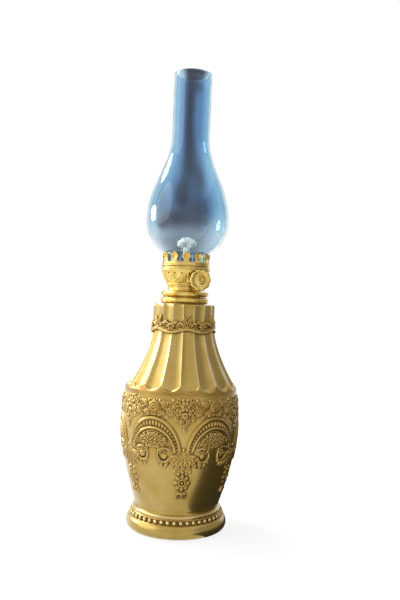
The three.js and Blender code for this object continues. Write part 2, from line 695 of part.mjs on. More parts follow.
// Flat tube for the wick, open at both ends, with a slot in its side for each feed wheel
function wickTube() {
  const low = BASE_TOP - TUBE_BELOW_BASE;
  const halfY = TUBE_OUTER_WIDTH / 2;
  const wall = block([-TUBE_OUTER_HALF, -halfY, low], [TUBE_OUTER_HALF, halfY, TUBE_TOP]);
  const innerY = halfY - TUBE_SHEET;
  const bore = block(
    [-TUBE_INNER_HALF, -innerY, low - TUBE_SHEET],
    [TUBE_INNER_HALF, innerY, TUBE_TOP + TUBE_SHEET],
  );
  const halfSlot = WHEEL_THICKNESS / 2 + CLEARANCE;
  const slotReach = Math.sqrt(WHEEL_RADIUS ** 2 - (WHEEL_RADIUS - TUBE_SHEET) ** 2) + 2 * CLEARANCE;
  const slots = [-WHEEL_OFFSET, WHEEL_OFFSET].map((y) => block(
    [0, y - halfSlot, SHAFT_Z - slotReach],
    [2 * TUBE_OUTER_HALF, y + halfSlot, SHAFT_Z + slotReach],
  ));
  return wall.subtract(bore).subtract(wasm.Manifold.union(slots));
}

// Half-round outline of the wheel box across the shaft, open towards the tube
function boxOutline(radius, from) {
  const outline = new THREE.Shape();
  outline.moveTo(from, SHAFT_Z - radius);
  outline.lineTo(SHAFT_X, SHAFT_Z - radius);
  outline.absarc(SHAFT_X, SHAFT_Z, radius, -Math.PI / 2, Math.PI / 2, false);
  outline.lineTo(from, SHAFT_Z + radius);
  return outline;
}

// An outline drawn in X and Z, drawn out along Y either side of the middle
function drawnAlongY(outline, length) {
  const drawn = { depth: length, bevelEnabled: false, curveSegments: HOLE_STEPS };
  const bar = new THREE.ExtrudeGeometry(outline, drawn);
  return toSolid(bar.rotateX(Math.PI / 2).translate(0, length / 2, 0));
}

// Cover soldered to the tube over the feed wheels. Its end cheeks carry the shaft.
function wheelBox() {
  const inner = WHEEL_RADIUS + BOX_ROOM;
  const from = TUBE_OUTER_HALF + CLEARANCE;
  const shell = drawnAlongY(boxOutline(inner + BOX_WALL, from), BOX_LENGTH);
  const room = drawnAlongY(boxOutline(inner, 0), BOX_LENGTH - 2 * BOX_WALL);
  const shaftHole = barAlongY(SHAFT_HOLE_RADIUS, SHAFT_X, SHAFT_Z, -BOX_LENGTH, BOX_LENGTH);
  return shell.subtract(room).subtract(shaftHole);
}

// Where the shaft leaves the bowl
const BOWL_EXIT = -Math.sqrt(bowlRadius(SHAFT_Z) ** 2 - SHAFT_X ** 2);
const SLEEVE_START = BOWL_EXIT + SLEEVE_INSET;
const SLEEVE_END = SLEEVE_START - SLEEVE_LENGTH;
const KNOB_BACK = SLEEVE_END - CLEARANCE;
const KNOB_DEPTH = KNOB_NECK_LENGTH + KNOB_THICKNESS + KNOB_HUB_HEIGHT;

// Guide tube for the shaft through the bowl's wall
function shaftSleeve() {
  const outer = barAlongY(SLEEVE_RADIUS, SHAFT_X, SHAFT_Z, SLEEVE_END, SLEEVE_START);
  const bore = barAlongY(SHAFT_HOLE_RADIUS, SHAFT_X, SHAFT_Z, SLEEVE_END - SHEET, SLEEVE_START + SHEET);
  return outer.subtract(bore);
}

function wickShaft() {
  const rear = BOX_LENGTH / 2 + BOX_WALL;
  return barAlongY(SHAFT_RADIUS, SHAFT_X, SHAFT_Z, KNOB_BACK - KNOB_DEPTH - CLEARANCE, rear);
}

// Toothed wheel that bites the wick through its slot
function feedWheel(y) {
  const outline = new THREE.Shape();
  for (let i = 0; i < 2 * WHEEL_TEETH; i++) {
    const radius = i % 2 ? WHEEL_ROOT_RADIUS : WHEEL_RADIUS;
    const angle = Math.PI + (Math.PI * i) / WHEEL_TEETH;
    outline[i ? "lineTo" : "moveTo"](SHAFT_X + radius * Math.cos(angle), SHAFT_Z + radius * Math.sin(angle));
  }
  outline.holes.push(new THREE.Path(circle(SHAFT_X, SHAFT_Z, SHAFT_HOLE_RADIUS, 2 * HOLE_STEPS)));
  return drawnAlongY(outline, WHEEL_THICKNESS).translate([0, y, 0]);
}

// Stamped rosette: a neck behind, a lobed and dished face, and a hub round the shaft's end
function knob() {
  const face = KNOB_NECK_LENGTH + KNOB_THICKNESS;
  const dish = face - KNOB_DISH;
  const top = face + KNOB_HUB_HEIGHT;
  const flank = (KNOB_RADIUS + KNOB_HUB_RADIUS) / 2;
  const profile = [
    [SHAFT_HOLE_RADIUS, 0, 0],
    [KNOB_NECK_RADIUS, 0, 0],
    [KNOB_NECK_RADIUS, KNOB_NECK_LENGTH, 0],
    [KNOB_RADIUS - KNOB_THICKNESS, KNOB_NECK_LENGTH, 0.6],
    [KNOB_RADIUS, KNOB_NECK_LENGTH + KNOB_THICKNESS / 3, 1],
    [KNOB_RADIUS, face - KNOB_THICKNESS / 3, 1],
    [KNOB_RADIUS - KNOB_THICKNESS / 2, face, 0.8],
    [flank, dish, 0.3],
    [KNOB_HUB_RADIUS, dish, 0],
    [KNOB_HUB_RADIUS, top - KNOB_HUB_HEIGHT / 3, 0],
    [KNOB_HUB_RADIUS - KNOB_HUB_HEIGHT / 3, top, 0],
    [SHAFT_HOLE_RADIUS, top, 0],
  ];
  const columns = KNOB_LOBES * KNOB_STEPS_PER_LOBE;
  const rings = profile.map(([radius, height, lobed]) => Array.from({ length: columns }, (_, i) => {
    const angle = (2 * Math.PI * i) / columns;
    const notch = (1 - Math.cos(KNOB_LOBES * angle)) / 2;
    return polar(radius - lobed * KNOB_LOBE_DEPTH * notch, angle, height);
  }));
  const rosette = ringGeometry(rings, true).rotateX(Math.PI / 2);
  return toSolid(rosette.translate(SHAFT_X, KNOB_BACK, SHAFT_Z));
}

// Frayed end of the wick: a flattened ball with soft lumps
function wickTuft(centre) {
  const columns = 20;
  const rows = spaced(0, Math.PI, 8).slice(1, -1);
  const lump = (angle, rise) => (
    1 + 0.1 * Math.cos(5 * angle + 3 * rise) + 0.07 * Math.cos(3 * angle - 4 * rise)
  );
  const rings = rows.map((rise) => Array.from({ length: columns }, (_, i) => {
    const angle = (2 * Math.PI * i) / columns;
    const radius = TUFT_RADIUS * Math.sin(rise) * lump(angle, rise);
    return polar(radius, angle, centre - (TUFT_HEIGHT / 2) * Math.cos(rise));
  }));
  const low = [new THREE.Vector3(0, 0, centre - TUFT_HEIGHT / 2)];
  const high = [new THREE.Vector3(0, 0, centre + TUFT_HEIGHT / 2)];
  return toSolid(ringGeometry([low, ...rings, high]));
}

// Woven tape from the oil up through the tube, with its frayed tuft
function wick() {
  const tuftFoot = TUBE_TOP + WICK_STAND - CLEARANCE;
  const centre = tuftFoot + TUFT_HEIGHT / 2;
  const low = BASE_TOP - WICK_TAIL_DEPTH;
  const tape = block(
    [-WICK_THICKNESS / 2, -WICK_WIDTH / 2, low],
    [WICK_THICKNESS / 2, WICK_WIDTH / 2, tuftFoot + TUFT_HEIGHT / 4],
  );
  return tape.add(wickTuft(centre));
}

// Outer radius of the chimney above its own bottom edge: a straight foot, an elliptical bulb, a cosine
// sweep, a flue
function chimneyRadius(height) {
  if (height <= BULB_CENTRE) {
    const drop = Math.min(1, (BULB_CENTRE - height) / BULB_SQUAT);
    const bulb = height <= CHIMNEY_FOOT_LENGTH ? 0 : BULB_RADIUS * Math.sqrt(1 - drop ** 2);
    return Math.max(CHIMNEY_FOOT_RADIUS, bulb);
  }
  const share = Math.min(1, (height - BULB_CENTRE) / (FLUE_START - BULB_CENTRE)) ** FLUE_SWEEP;
  return FLUE_RADIUS + ((BULB_RADIUS - FLUE_RADIUS) * (1 + Math.cos(Math.PI * share))) / 2;
}

function chimney() {
  const heights = [
    0,
    ...spaced(CHIMNEY_FOOT_LENGTH, BULB_CENTRE, 5),
    ...spaced(BULB_CENTRE, FLUE_START, 7).slice(1),
    CHIMNEY_LENGTH,
  ];
  const outer = heights.map((height) => [chimneyRadius(height), CHIMNEY_SEAT + height]);
  const inner = outer.map(([radius, height]) => [radius - CHIMNEY_WALL, height]).reverse();
  return turned(closedProfile([...outer, ...inner]), GLASS_STEPS);
}

const body = new THREE.Group();
body.rotation.z = THREE.MathUtils.degToRad(BODY_TURN);
body.add(named("reservoir_body", vase(), GOLD_PAINT));

const crown = named("chimney_crown", chimneyCrown(), BRASS);
crown.rotation.z = THREE.MathUtils.degToRad(CROWN_TURN);

const burner = new THREE.Group();
burner.position.z = BURNER_SEAT;
burner.add(
  named("burner_base", burnerBase(), BRASS),
  named("burner_bowl", burnerBowl(), BRASS),
  crown,
  named("air_plate", airPlate(), INNER_BRASS),
  named("wick_tube", wickTube(), INNER_BRASS),
  named("wheel_box", wheelBox(), INNER_BRASS),
  named("shaft_sleeve", shaftSleeve(), BRASS),
  named("wick_shaft", wickShaft(), BRASS),
  named("feed_wheel_front", feedWheel(-WHEEL_OFFSET), STEEL),
  named("feed_wheel_rear", feedWheel(WHEEL_OFFSET), STEEL),
  named("knob", knob(), BRASS),
  named("wick", wick(), COTTON),
  named("chimney", chimney(), BLUE_GLASS),
);

const lamp = new THREE.Group();
lamp.add(
  body,
  named("collar_plaster", collarPlaster(), PLASTER),
  named("neck_collar", neckCollar(), BRASS),
  burner,
);

export default lamp;
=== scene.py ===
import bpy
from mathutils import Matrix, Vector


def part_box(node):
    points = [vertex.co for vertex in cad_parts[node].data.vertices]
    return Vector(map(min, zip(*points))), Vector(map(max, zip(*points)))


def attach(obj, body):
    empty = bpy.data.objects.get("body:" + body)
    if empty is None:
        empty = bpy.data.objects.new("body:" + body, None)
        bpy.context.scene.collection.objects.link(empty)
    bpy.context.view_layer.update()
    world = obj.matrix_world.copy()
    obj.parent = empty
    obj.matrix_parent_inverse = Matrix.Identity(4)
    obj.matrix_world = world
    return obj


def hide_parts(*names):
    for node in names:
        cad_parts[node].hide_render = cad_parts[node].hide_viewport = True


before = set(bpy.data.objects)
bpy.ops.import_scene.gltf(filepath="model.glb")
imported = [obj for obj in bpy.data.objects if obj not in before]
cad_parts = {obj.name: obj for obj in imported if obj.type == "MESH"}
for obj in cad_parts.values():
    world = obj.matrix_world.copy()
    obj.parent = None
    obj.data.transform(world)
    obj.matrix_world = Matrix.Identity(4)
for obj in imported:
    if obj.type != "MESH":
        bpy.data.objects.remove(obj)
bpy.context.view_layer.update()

from types import SimpleNamespace

import bpy
import numpy as np
from bpy.props import FloatProperty, FloatVectorProperty, IntProperty, PointerProperty
from mathutils import Matrix

bl_info = {
    "name": "Kerosene table lamp",
    "version": (1, 0, 0),
    "blender": (4, 5, 0),
    "location": "3D View > Sidebar > Lamp",
    "description": "A gold vase with cast relief, a brass wick burner and a blue glass chimney",
    "category": "Add Mesh",
}

MM = 0.001
# keeps a divisor off zero
TINY = 1e-6
# angle in degrees past which an edge is sharp, unless a piece says otherwise
SHARP = 40


def linear(code):
    """An sRGB hex code as linear red, green and blue."""
    share = np.array([int(code[i:i + 2], 16) for i in (1, 3, 5)]) / 255
    return np.where(share <= 0.04045, share / 12.92, ((share + 0.055) / 1.055) ** 2.4).tolist()


def length(name, description, millimetres):
    """A length that a user can change, given in millimetres and kept in metres."""
    return FloatProperty(name=name, description=description, default=millimetres * MM, min=0, unit="LENGTH")


def colour(name, description, code):
    """A colour that a user can change, given as an sRGB hex code and kept linear."""
    return FloatVectorProperty(
        name=name, description=description, default=linear(code), min=0, max=1, size=3, subtype="COLOR")


def count(name, description, number):
    """A number of like forms that a user can change."""
    return IntProperty(name=name, description=description, default=number, min=3)


class LampSizes(bpy.types.PropertyGroup):
    """Sizes of the lamp's pieces."""

    foot_radius: length("Foot radius", "Outside of the rolled foot", 37.3)
    foot_roll: length("Foot roll", "Radius of the roll round the foot", 4.7)
    bead_radius: length("Bead radius", "Radius of a bead of the foot's bead row", 1.5)
    bead_count: count("Beads", "Beads round the foot", 46)
    waist_radius: length("Waist radius", "Radius where the belly springs from the foot", 31.2)
    waist_height: length("Waist height", "Height where the belly springs from the foot", 18.5)
    belly_radius: length("Belly radius", "Greatest radius of the vase", 43.6)
    belly_height: length("Belly height", "Height of the greatest radius", 76)
    shoulder_radius: length("Shoulder radius", "Radius where the flutes begin", 41.4)
    shoulder_height: length("Shoulder height", "Height where the flutes begin", 104.3)
    neck_radius: length("Neck radius", "Radius of the neck on its ridges", 23)
    neck_start: length("Neck start", "Height where the shoulder turns straight", 150)
    neck_top: length("Neck top", "Height of the vase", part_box("reservoir_body")[1].z / MM)
    wall: length("Wall", "Thickness of the vase under its ridges", 6.6)
    flute_count: count("Flutes", "Flutes round the shoulder", 18)
    flute_depth: length("Flute depth", "Depth of a flute at the shoulder", 2.1)
    neck_flute_depth: length("Neck flute depth", "Depth of a flute at the neck", 1.1)
    relief: length("Relief", "Height of the belly's ornament", 1.15)
    garland: length("Garland", "Height of the neck's garland", 1.1)
    prong_count: count("Prongs", "Prongs of the crown", 12)
    prong_sheet: length("Prong sheet", "Thickness of the crown's sheet", 0.8)
    knob_radius: length("Knob radius", "Radius of the wick knob", 8)
    knob_lobes: count("Knob lobes", "Lobes round the wick knob", 10)
    bulb_radius: length("Bulb radius", "Greatest radius of the chimney", 30.75)
    flue_radius: length("Flue radius", "Radius of the chimney's straight top", 14.1)
    glass: length("Glass", "Thickness of the chimney's wall", 1.6)


class LampColours(bpy.types.PropertyGroup):
    """Colours of the lamp's finishes."""

    gold: colour("Gold", "Gold bronze paint of the vase", "#ad8e38")
    # gold_rubbed_and_highlit is painted highlight on crests, the ledge and the beads' outer sides as well as
    # rubbing; gold_glaze and gold_shade are painted shade in hollows, the cove and under the flutes as well
    # as glaze
    gold_rubbed_and_highlit: colour("Worn gold", "Paint rubbed bright on high places", "#e6d397")
    gold_glaze: colour("Glazed gold", "Brown glaze wiped thin over the gold", "#966f2a")
    gold_shade: colour("Shaded gold", "Brown glaze left in the hollows", "#583a14")
    brass: colour("Brass", "Polished brass of the burner", "#d8bf70")
    brass_shade: colour("Tarnish", "Warm tarnish on the brass", "#c1933d")
    old_brass: colour("Inner brass", "Dull brass inside the burner", "#9c7a36")
    steel: colour("Steel", "Steel of the feed wheels", "#8b8881")
    cotton: colour("Cotton", "Undyed cotton of the wick", "#fcf9f1")
    cotton_shade: colour("Cotton shade", "Creases of the cotton", "#b3a893")
    plaster: colour("Plaster", "Plaster that sets the collar", "#d8d2c4")
    # glass_facing_shade and glass_edge_reflection tint the glass by the angle it is seen at: painted shade
    # straight on, painted reflection towards the edges
    glass_facing_shade: colour("Glass heart", "Thick glass, looked at straight on", "#88a9cb")
    glass_edge_reflection: colour("Glass edge", "Glass looked at edge-on", "#bfe6f5")
    glass_rim: colour("Glass rim", "Outline of the glass, where the eye looks along the wall", "#6c97ac")
    glass_thin: colour("Thin glass", "Glass blown thin, low in the bulb", "#e2eff7")
    floor: colour("Floor", "Paper that the lamp stands on", "#f7f6f3")


def in_millimetres(group):
    """The group's lengths as millimetres and its counts as they are."""
    values = {name: getattr(group, name) for name in group.__annotations__}
    return SimpleNamespace(**{n: v if isinstance(v, int) else v / MM for n, v in values.items()})


# Surfaces

def rings(grid, loop=False, low=None, high=None, wear=None):
    """Surface through closed rings of points, an array [row, column, xyz].

    Each row is joined to the next. loop joins the last row to the first, and low and high are points that
    close the ends with a fan. wear is a number for each point: 0 in a hollow, 0.5 on plain
    ground and 1 on a crest. Below 0.5 it paints shade as well as glaze, and above 0.5 it paints highlight as
    well as rubbing.
    """
    rows, columns = grid.shape[:2]
    ring = np.arange(columns)
    after = np.roll(ring, -1)
    row = np.arange(rows if loop else rows - 1)[:, None] * columns
    above = (row + columns) % (rows * columns)
    faces = [np.stack([row + ring, row + after, above + after, above + ring], -1).reshape(-1, 4)]
    points = grid.reshape(-1, 3)
    if low is not None:
        points = np.vstack([points, low])
        faces.append(np.stack([np.full(columns, len(points) - 1), after, ring], -1))
    if high is not None:
        points = np.vstack([points, high])
        last = (rows - 1) * columns
        faces.append(np.stack([last + ring, last + after, np.full(columns, len(points) - 1)], -1))
    worn_and_shaded = np.full(len(points), 0.5)
    if wear is not None:
        worn_and_shaded[:rows * columns] = wear.ravel()
    return SimpleNamespace(points=points, faces=faces, wear=worn_and_shaded)


def round_axis(radius, angle, height):
    """Points at a radius, an angle and a height."""
    return np.stack(np.broadcast_arrays(radius * np.cos(angle), radius * np.sin(angle), height), -1)


def turned(profile, columns, **ends):
    """A profile of (radius, height) pairs carried round the vertical axis."""
    profile = np.asarray(profile, float)
    angle = np.linspace(0, 2 * np.pi, columns, endpoint=False)
    return rings(round_axis(profile[:, :1], angle, profile[:, 1:]), **ends)


def arc(radius, height, size, start, end, steps):
    """(radius, height) pairs along a circle of that size, angles in degrees from straight out."""
    angle = np.radians(np.linspace(start, end, steps + 1))
    return np.stack([radius + size * np.cos(angle), height + size * np.sin(angle)], -1)


def joined(*parts):
    """Several surfaces as one."""
    starts = np.cumsum([0] + [len(p.points) for p in parts])
    return SimpleNamespace(
        points=np.vstack([p.points for p in parts]),
        faces=[f + start for p, start in zip(parts, starts) for f in p.faces],
        wear=np.concatenate([p.wear for p in parts]))


def spun(part, angles):
    """Copies of a surface, each turned about the vertical axis by one of the angles."""
    cos, sin = np.cos(angles)[:, None], np.sin(angles)[:, None]
    x, y, z = part.points.T
    points = np.stack(np.broadcast_arrays(cos * x - sin * y, sin * x + cos * y, z), -1)
    start = np.arange(len(angles))[:, None, None] * len(x)
    return SimpleNamespace(
        points=points.reshape(-1, 3),
        faces=[(f + start).reshape(-1, f.shape[1]) for f in part.faces],
        wear=np.tile(part.wear, len(angles)))


def along_shaft(part, x, y, z):
    """A surface turned about the vertical axis, laid with its axis along -Y from a point."""
    across, up, out = part.points.T
    part.points = np.stack([x + across, y - out, z + up], -1)
    return part


def build(name, part, material, body, slot, *nodes, sharp=SHARP):
    """Puts a surface in millimetres into the scene: a piece that rides on a body and stands for CAD nodes."""
    mesh = bpy.data.meshes.new(name)
    sizes = np.concatenate([np.full(len(f), f.shape[1]) for f in part.faces])
    corners = np.concatenate([f.ravel() for f in part.faces])
    mesh.vertices.add(len(part.points))
    mesh.vertices.foreach_set("co", (part.points * MM).ravel())
    mesh.loops.add(len(corners))
    mesh.loops.foreach_set("vertex_index", corners.astype(np.int32))
    mesh.polygons.add(len(sizes))
    mesh.polygons.foreach_set("loop_start", (np.cumsum(sizes) - sizes).astype(np.int32))
    mesh.update(calc_edges=True)
    # the tone of each point, with its painted shade and painted highlight, is kept for the paint as an
    # attribute
    mesh.attributes.new("wear", "FLOAT", "POINT").data.foreach_set("value", part.wear.astype(np.float32))
    mesh.shade_smooth()
    mesh.set_sharp_from_angle(angle=np.radians(sharp))
    mesh.materials.append(material)
    piece = bpy.data.objects.new(name, mesh)
    bpy.context.scene.collection.objects.link(piece)
    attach(piece, body)
    if nodes:
        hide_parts(*nodes)
    return piece


# Ornament: heights over a flat layout, across and up in millimetres, 1 for the full height of the relief

def smooth(low, high, value):
    """0 below low, 1 above high, and a cubic ease between."""
    share = np.clip((value - low) / (high - low), 0, 1)
    return share * share * (3 - 2 * share)


def half_round(share):
    """A half circle over shares from -1 to 1."""
    return np.sqrt(np.clip(1 - share ** 2, 0, None))


def leaf(across, up, angle, span, width, height=1.0):
    """A pointed leaf from its stem: a half circle across and a skewed sine along, with a groove for its
    midrib and slanting veins."""
    turn = np.radians(angle)
    along = across * np.cos(turn) + up * np.sin(turn)
    side = np.abs(up * np.cos(turn) - across * np.sin(turn))
    share = np.clip(along / span, 0, 1)
    half = width / 2 * np.sin(np.pi * share ** 0.8) + TINY
    groove = 1 - 0.5 * np.exp(-(side / (0.13 * width)) ** 2)
    veins = 1 + 0.14 * np.cos(2 * np.pi * (along - 0.9 * side) / (0.19 * span))
    ends = np.sqrt(np.sin(np.pi * share))
    return height * half_round(np.minimum(side / half, 1)) * groove * veins * ends


def rosette(across, up, radius, petals, height=1.0):
    """Round petals about a ring and a button, all in shares of the radius.

    A petal is a half sphere, with the angle folded into its share of the turn. The ring is half round, and
    the button is a half sphere, by the distance out.
    """
    out = np.hypot(across, up) / radius
    share = 2 * np.pi / petals
    fold = (np.arctan2(up, across) + share / 2) % share - share / 2
    along, side = out * np.cos(fold) - 0.68, out * np.sin(fold)
    petal = half_round(np.minimum(np.hypot(along / 0.32, side * petals / 2.3), 1))
    ring = half_round(np.clip((out - 0.36) / 0.13, -1, 1))
    button = half_round(np.minimum(out / 0.2, 1))
    return height * np.maximum.reduce([0.8 * petal, 0.9 * ring, 1.05 * button])


def rose(across, up, radius, height=1.0):
    """A rolled rose: a dome creased along a spiral, where the radius less the angle comes to a whole turn."""
    out = np.hypot(across, up) / radius
    turns = 2.3 * out - np.arctan2(up, across) / (2 * np.pi)
    return height * half_round(np.minimum(out, 1)) ** 0.7 * (0.3 + 0.7 * np.abs(np.sin(np.pi * turns)) ** 0.6)


def boss(across, up, radius, height=1.0):
    """A round boss: a half sphere."""
    return height * half_round(np.minimum(np.hypot(across, up) / radius, 1))


def line(distance, half_width, height=1.0):
    """A round-backed line, from the distance to its middle."""
    return height * half_round(np.clip(distance / half_width, -1, 1))


def from_path(across, up, path):
    """Distance to the nearest of a path's points."""
    return np.sqrt(((across[..., None] - path[:, 0]) ** 2 + (up[..., None] - path[:, 1]) ** 2).min(-1))


def from_ellipse(across, up, base, half_width, rise):
    """Distance outside an ellipse about a height: its implicit value over the length of its slope."""
    up = up - base
    share = np.hypot(across / half_width, up / rise) + TINY
    return (share - 1) * share / (np.hypot(across / half_width ** 2, up / rise ** 2) + TINY)


def grains(across, up, pitch, radius, height, kept):
    """Round grains on a hexagonal lattice, each stirred a little, where kept is true of a grain's middle."""
    # the lattice is two square ones, stretched upwards and half a pitch apart
    tall = 1.732 * pitch
    layers = []
    for shift in (0, 0.5):
        x = (np.round(across / pitch - shift) + shift) * pitch
        z = (np.round(up / tall - shift) + shift) * tall
        stir = 0.13 * pitch * np.sin(12.9 * x + 78.2 * z)
        swell = 1 + 0.25 * np.sin(5.1 * x - 3.7 * z)
        grain = boss(across - x - stir, up - z + stir, radius, height * swell)
        layers.append(np.where(kept(x, z), grain, 0))
    return np.maximum(*layers)


def spiral(start, end, wide, narrow):
    """A path whose angle runs from start to end, in degrees, while its radius shrinks evenly."""
    share = np.linspace(0, 1, 70)
    angle = np.radians(start + (end - start) * share)
    out = wide + (narrow - wide) * share
    return np.stack([out * np.cos(angle), out * np.sin(angle)], -1)


# Ornament of one sixth of the belly: each form begins with its place, across from the pendant's axis and up
# roses: place, radius and height of relief
ROSES = [(22.83, 94.2, 4.7, 1.25), (10.2, 91.2, 3.5, 1.15), (15.6, 96.0, 2.7, 1.05), (18.0, 90.4, 2.3, 0.95)]
# flowers: place, radius, petals and height of relief
FLOWERS = [(0, 95.2, 3.7, 6, 1.2), (5.2, 96.9, 2.5, 5, 1.0), (4.9, 91.0, 2.7, 5, 1.05),
           (0, 88.8, 2.6, 5, 1.1), (6.1, 87.0, 2.0, 5, 0.9), (2.3, 84.8, 1.9, 5, 0.9),
           (0, 82.0, 1.7, 5, 0.85), (12.9, 87.9, 1.7, 5, 0.85), (0, 41.5, 6.7, 8, 1.15)]
# bosses: place, radius and height of relief
BOSSES = [(1.6, 99.6, 1.2, 0.9), (8.6, 99.0, 1.1, 0.8), (12.7, 97.4, 1.2, 0.8), (8.3, 94.6, 1.2, 0.8),
          (13.6, 93.4, 1.1, 0.8), (18.6, 98.6, 1.1, 0.7), (3.9, 66.0, 1.0, 0.8), (3.9, 62.9, 0.9, 0.8),
          (0, 65.2, 1.1, 0.9), (14.1, 60.5, 2.4, 1.1), (2.9, 47.9, 1.2, 0.85), (0, 49.2, 1.3, 0.9),
          (2.7, 31.6, 0.8, 0.8), (0, 33.6, 1.5, 0.9), (6.0, 49.6, 1.0, 0.7), (18.4, 63.6, 1.1, 0.7)]
# leaves: place of the stem, direction in degrees, length and width
LEAVES = [(0, 62.6, -90, 13.6, 5.2), (0.7, 62.0, -67, 13.8, 4.8), (1.4, 61.8, -46, 14.4, 4.4),
          (2.0, 62.0, -28, 14.0, 3.8), (3.0, 61.0, -8, 8.5, 2.8), (0, 35.0, -90, 5.6, 3.4),
          (1.2, 34.6, -40, 3.6, 2.0), (0, 81.2, -90, 4.6, 2.6), (8.0, 89.0, 25, 4.5, 2.2),
          (7.6, 93.0, 80, 4.6, 2.2), (12.4, 94.6, 65, 5.0, 2.2), (13.8, 90.0, 10, 4.6, 2.2),
          (19.4, 96.4, 120, 3.8, 2.0), (20.6, 90.2, -60, 3.2, 1.9), (16.4, 88.8, -10, 4.4, 2.0),
          (3.0, 98.2, 60, 3.6, 1.8), (9.0, 66.6, 74, 7.6, 2.8), (11.2, 67.2, 58, 8.4, 3.0),
          (13.2, 67.0, 34, 6.4, 2.6), (17.0, 65.6, 30, 5.0, 2.2), (11.0, 57.6, -62, 7.0, 2.8),
          (15.4, 57.4, -80, 5.6, 2.6), (18.2, 58.6, -100, 4.4, 2.0)]
# scrolls: place, first and last angle in degrees, first and last radius, and half the line's width
SCROLLS = [(14.1, 60.5, 138, -160, 5.8, 3.6, 0.7), (2.7, 31.6, 150, -130, 1.9, 1.3, 0.4)]
# arches: height of the springing, half width and rise, of the outer line, the pearls and the inner line
OUTER_ARCH, PEARL_ARCH, INNER_ARCH = (60.0, 20.2, 26.3), (60.5, 18.5, 22.5), (61.0, 16.7, 18.6)
PEARL_PITCH = 2.5


def belly_relief(across, up, half):
    """Height of the belly's ornament: the highest of its forms, over a cell that mirrors about its middle.

    Two ellipses make the arch, with pearls set out by arc length between them and grains inside. Roses,
    flowers, bosses, leaves and scrolls stand at the places listed above, each with its mirror image.
    """
    def wrap(value):
        return (value + half) % (2 * half) - half

    def sides(x, z):
        return [(wrap(side * across - x), up - z) for side in (1, -1)]

    def in_arch(x, z):
        margin, low, half_width = 2.9, 60, 9.6
        doorway, doorway_top, doorway_rise = 6.2, 66.4, 5.5
        opening = doorway * np.sqrt(np.clip((doorway_top - z) / doorway_rise, 0, 1))
        outside_doorway = (np.abs(x) > opening) | (z > doorway_top)
        inside = (from_ellipse(x, z, *INNER_ARCH) < -margin) & (z > low) & (np.abs(x) < half_width)
        return inside & outside_doorway

    def in_garland(x, z):
        x = np.abs(x)
        base, half_width, rise = OUTER_ARCH
        over_arch = base + 2 + rise * half_round((half - x) / half_width)
        # the lower edge rises from the pendant's axis and then clears the arch, and the upper edge sags
        low = np.where(x < 8.5, 80 + 0.88 * x, np.maximum(87.6, over_arch))
        high = 100.4 - 3.0 * smooth(5, 12, x) + 1.4 * smooth(15, 21, x)
        return (z > low) & (z < high)

    arch = wrap(across - half)
    outer = from_ellipse(arch, up, *OUTER_ARCH)
    inner = from_ellipse(arch, up, *INNER_ARCH)
    above = smooth(62.0, 65.0, up)
    base, half_width, rise = PEARL_ARCH
    turn = np.linspace(0, np.pi, 400)
    run = np.cumsum(np.hypot(half_width * np.sin(turn), rise * np.cos(turn))) * (turn[1] - turn[0])
    along = np.interp(np.arctan2((up - base) / rise, arch / half_width), turn, run) - run[-1] / 2
    step = along - np.round(along / PEARL_PITCH) * PEARL_PITCH
    pearl_half = np.clip((inner - outer - 2.7) / 2, 0.6, 1.9)
    offset = (inner + outer + 0.2) / 2
    pearls = half_round(np.minimum(((offset / pearl_half) ** 4 + (step / 1.02) ** 4) ** 0.25, 1))
    layers = [
        above * line(outer, 1.35, 0.85),
        above * line(inner, 1.15, 1.0),
        smooth(66, 69, up) * line(inner + 2.0, 0.45, 0.5),
        above * 0.7 * pearls,
        grains(arch, up, 1.75, 0.92, 0.85, in_arch),
        grains(across, up, 1.9, 0.9, 0.5, in_garland),
    ]
    for x, z, radius, height in ROSES:
        layers += [rose(*place, radius, height) for place in sides(x, z)]
    for x, z, radius, petals, height in FLOWERS:
        layers += [rosette(*place, radius, petals, height) for place in sides(x, z)]
    for x, z, radius, height in BOSSES:
        layers += [boss(*place, radius, height) for place in sides(x, z)]
    for x, z, angle, span, width in LEAVES:
        layers += [leaf(*place, angle, span, width) for place in sides(x, z)]
    for x, z, start, end, wide, narrow, half_line in SCROLLS:
        path = spiral(start, end, wide, narrow)
        layers += [line(from_path(*place, path), half_line, 0.95) for place in sides(x, z)]
    return np.maximum.reduce(layers)


def neck_relief(across, up, half):
    """Height of the neck's garland: a wavy ribbon, leaf tufts with knots, and rosettes between them."""
    ribbon_height, wave, knot_height, rosette_height = 146.3, 1.1, 148.4, 149.3
    far = (across + 2 * half) % (2 * half) - half
    ribbon = up - ribbon_height - wave * np.cos(np.pi * across / half)
    knot = up - knot_height
    layers = [
        line(ribbon, 1.2, 0.95),
        line(ribbon - 1.7, 0.55, 0.6),
        rosette(far, up - rosette_height, 3.1, 6, 1.15),
        boss(across, knot, 1.8, 1.1),
    ]
    for side in (1, -1):
        x = side * across
        layers += [
            leaf(x - 0.3, knot, 74, 9.4, 3.2),
            leaf(x - 0.9, knot, 42, 6.8, 2.8),
            leaf(x - 1.0, knot + 0.8, -8, 6.0, 2.2),
            leaf(side * far - 1.6, up - rosette_height - 1.2, 40, 5.0, 2.2),
            leaf(side * far - 1.2, up - rosette_height + 2.1, -30, 4.6, 2.0),
            boss(x - 6.2, knot - 3.0, 1.0, 0.8),
        ]
    return np.maximum.reduce(layers)


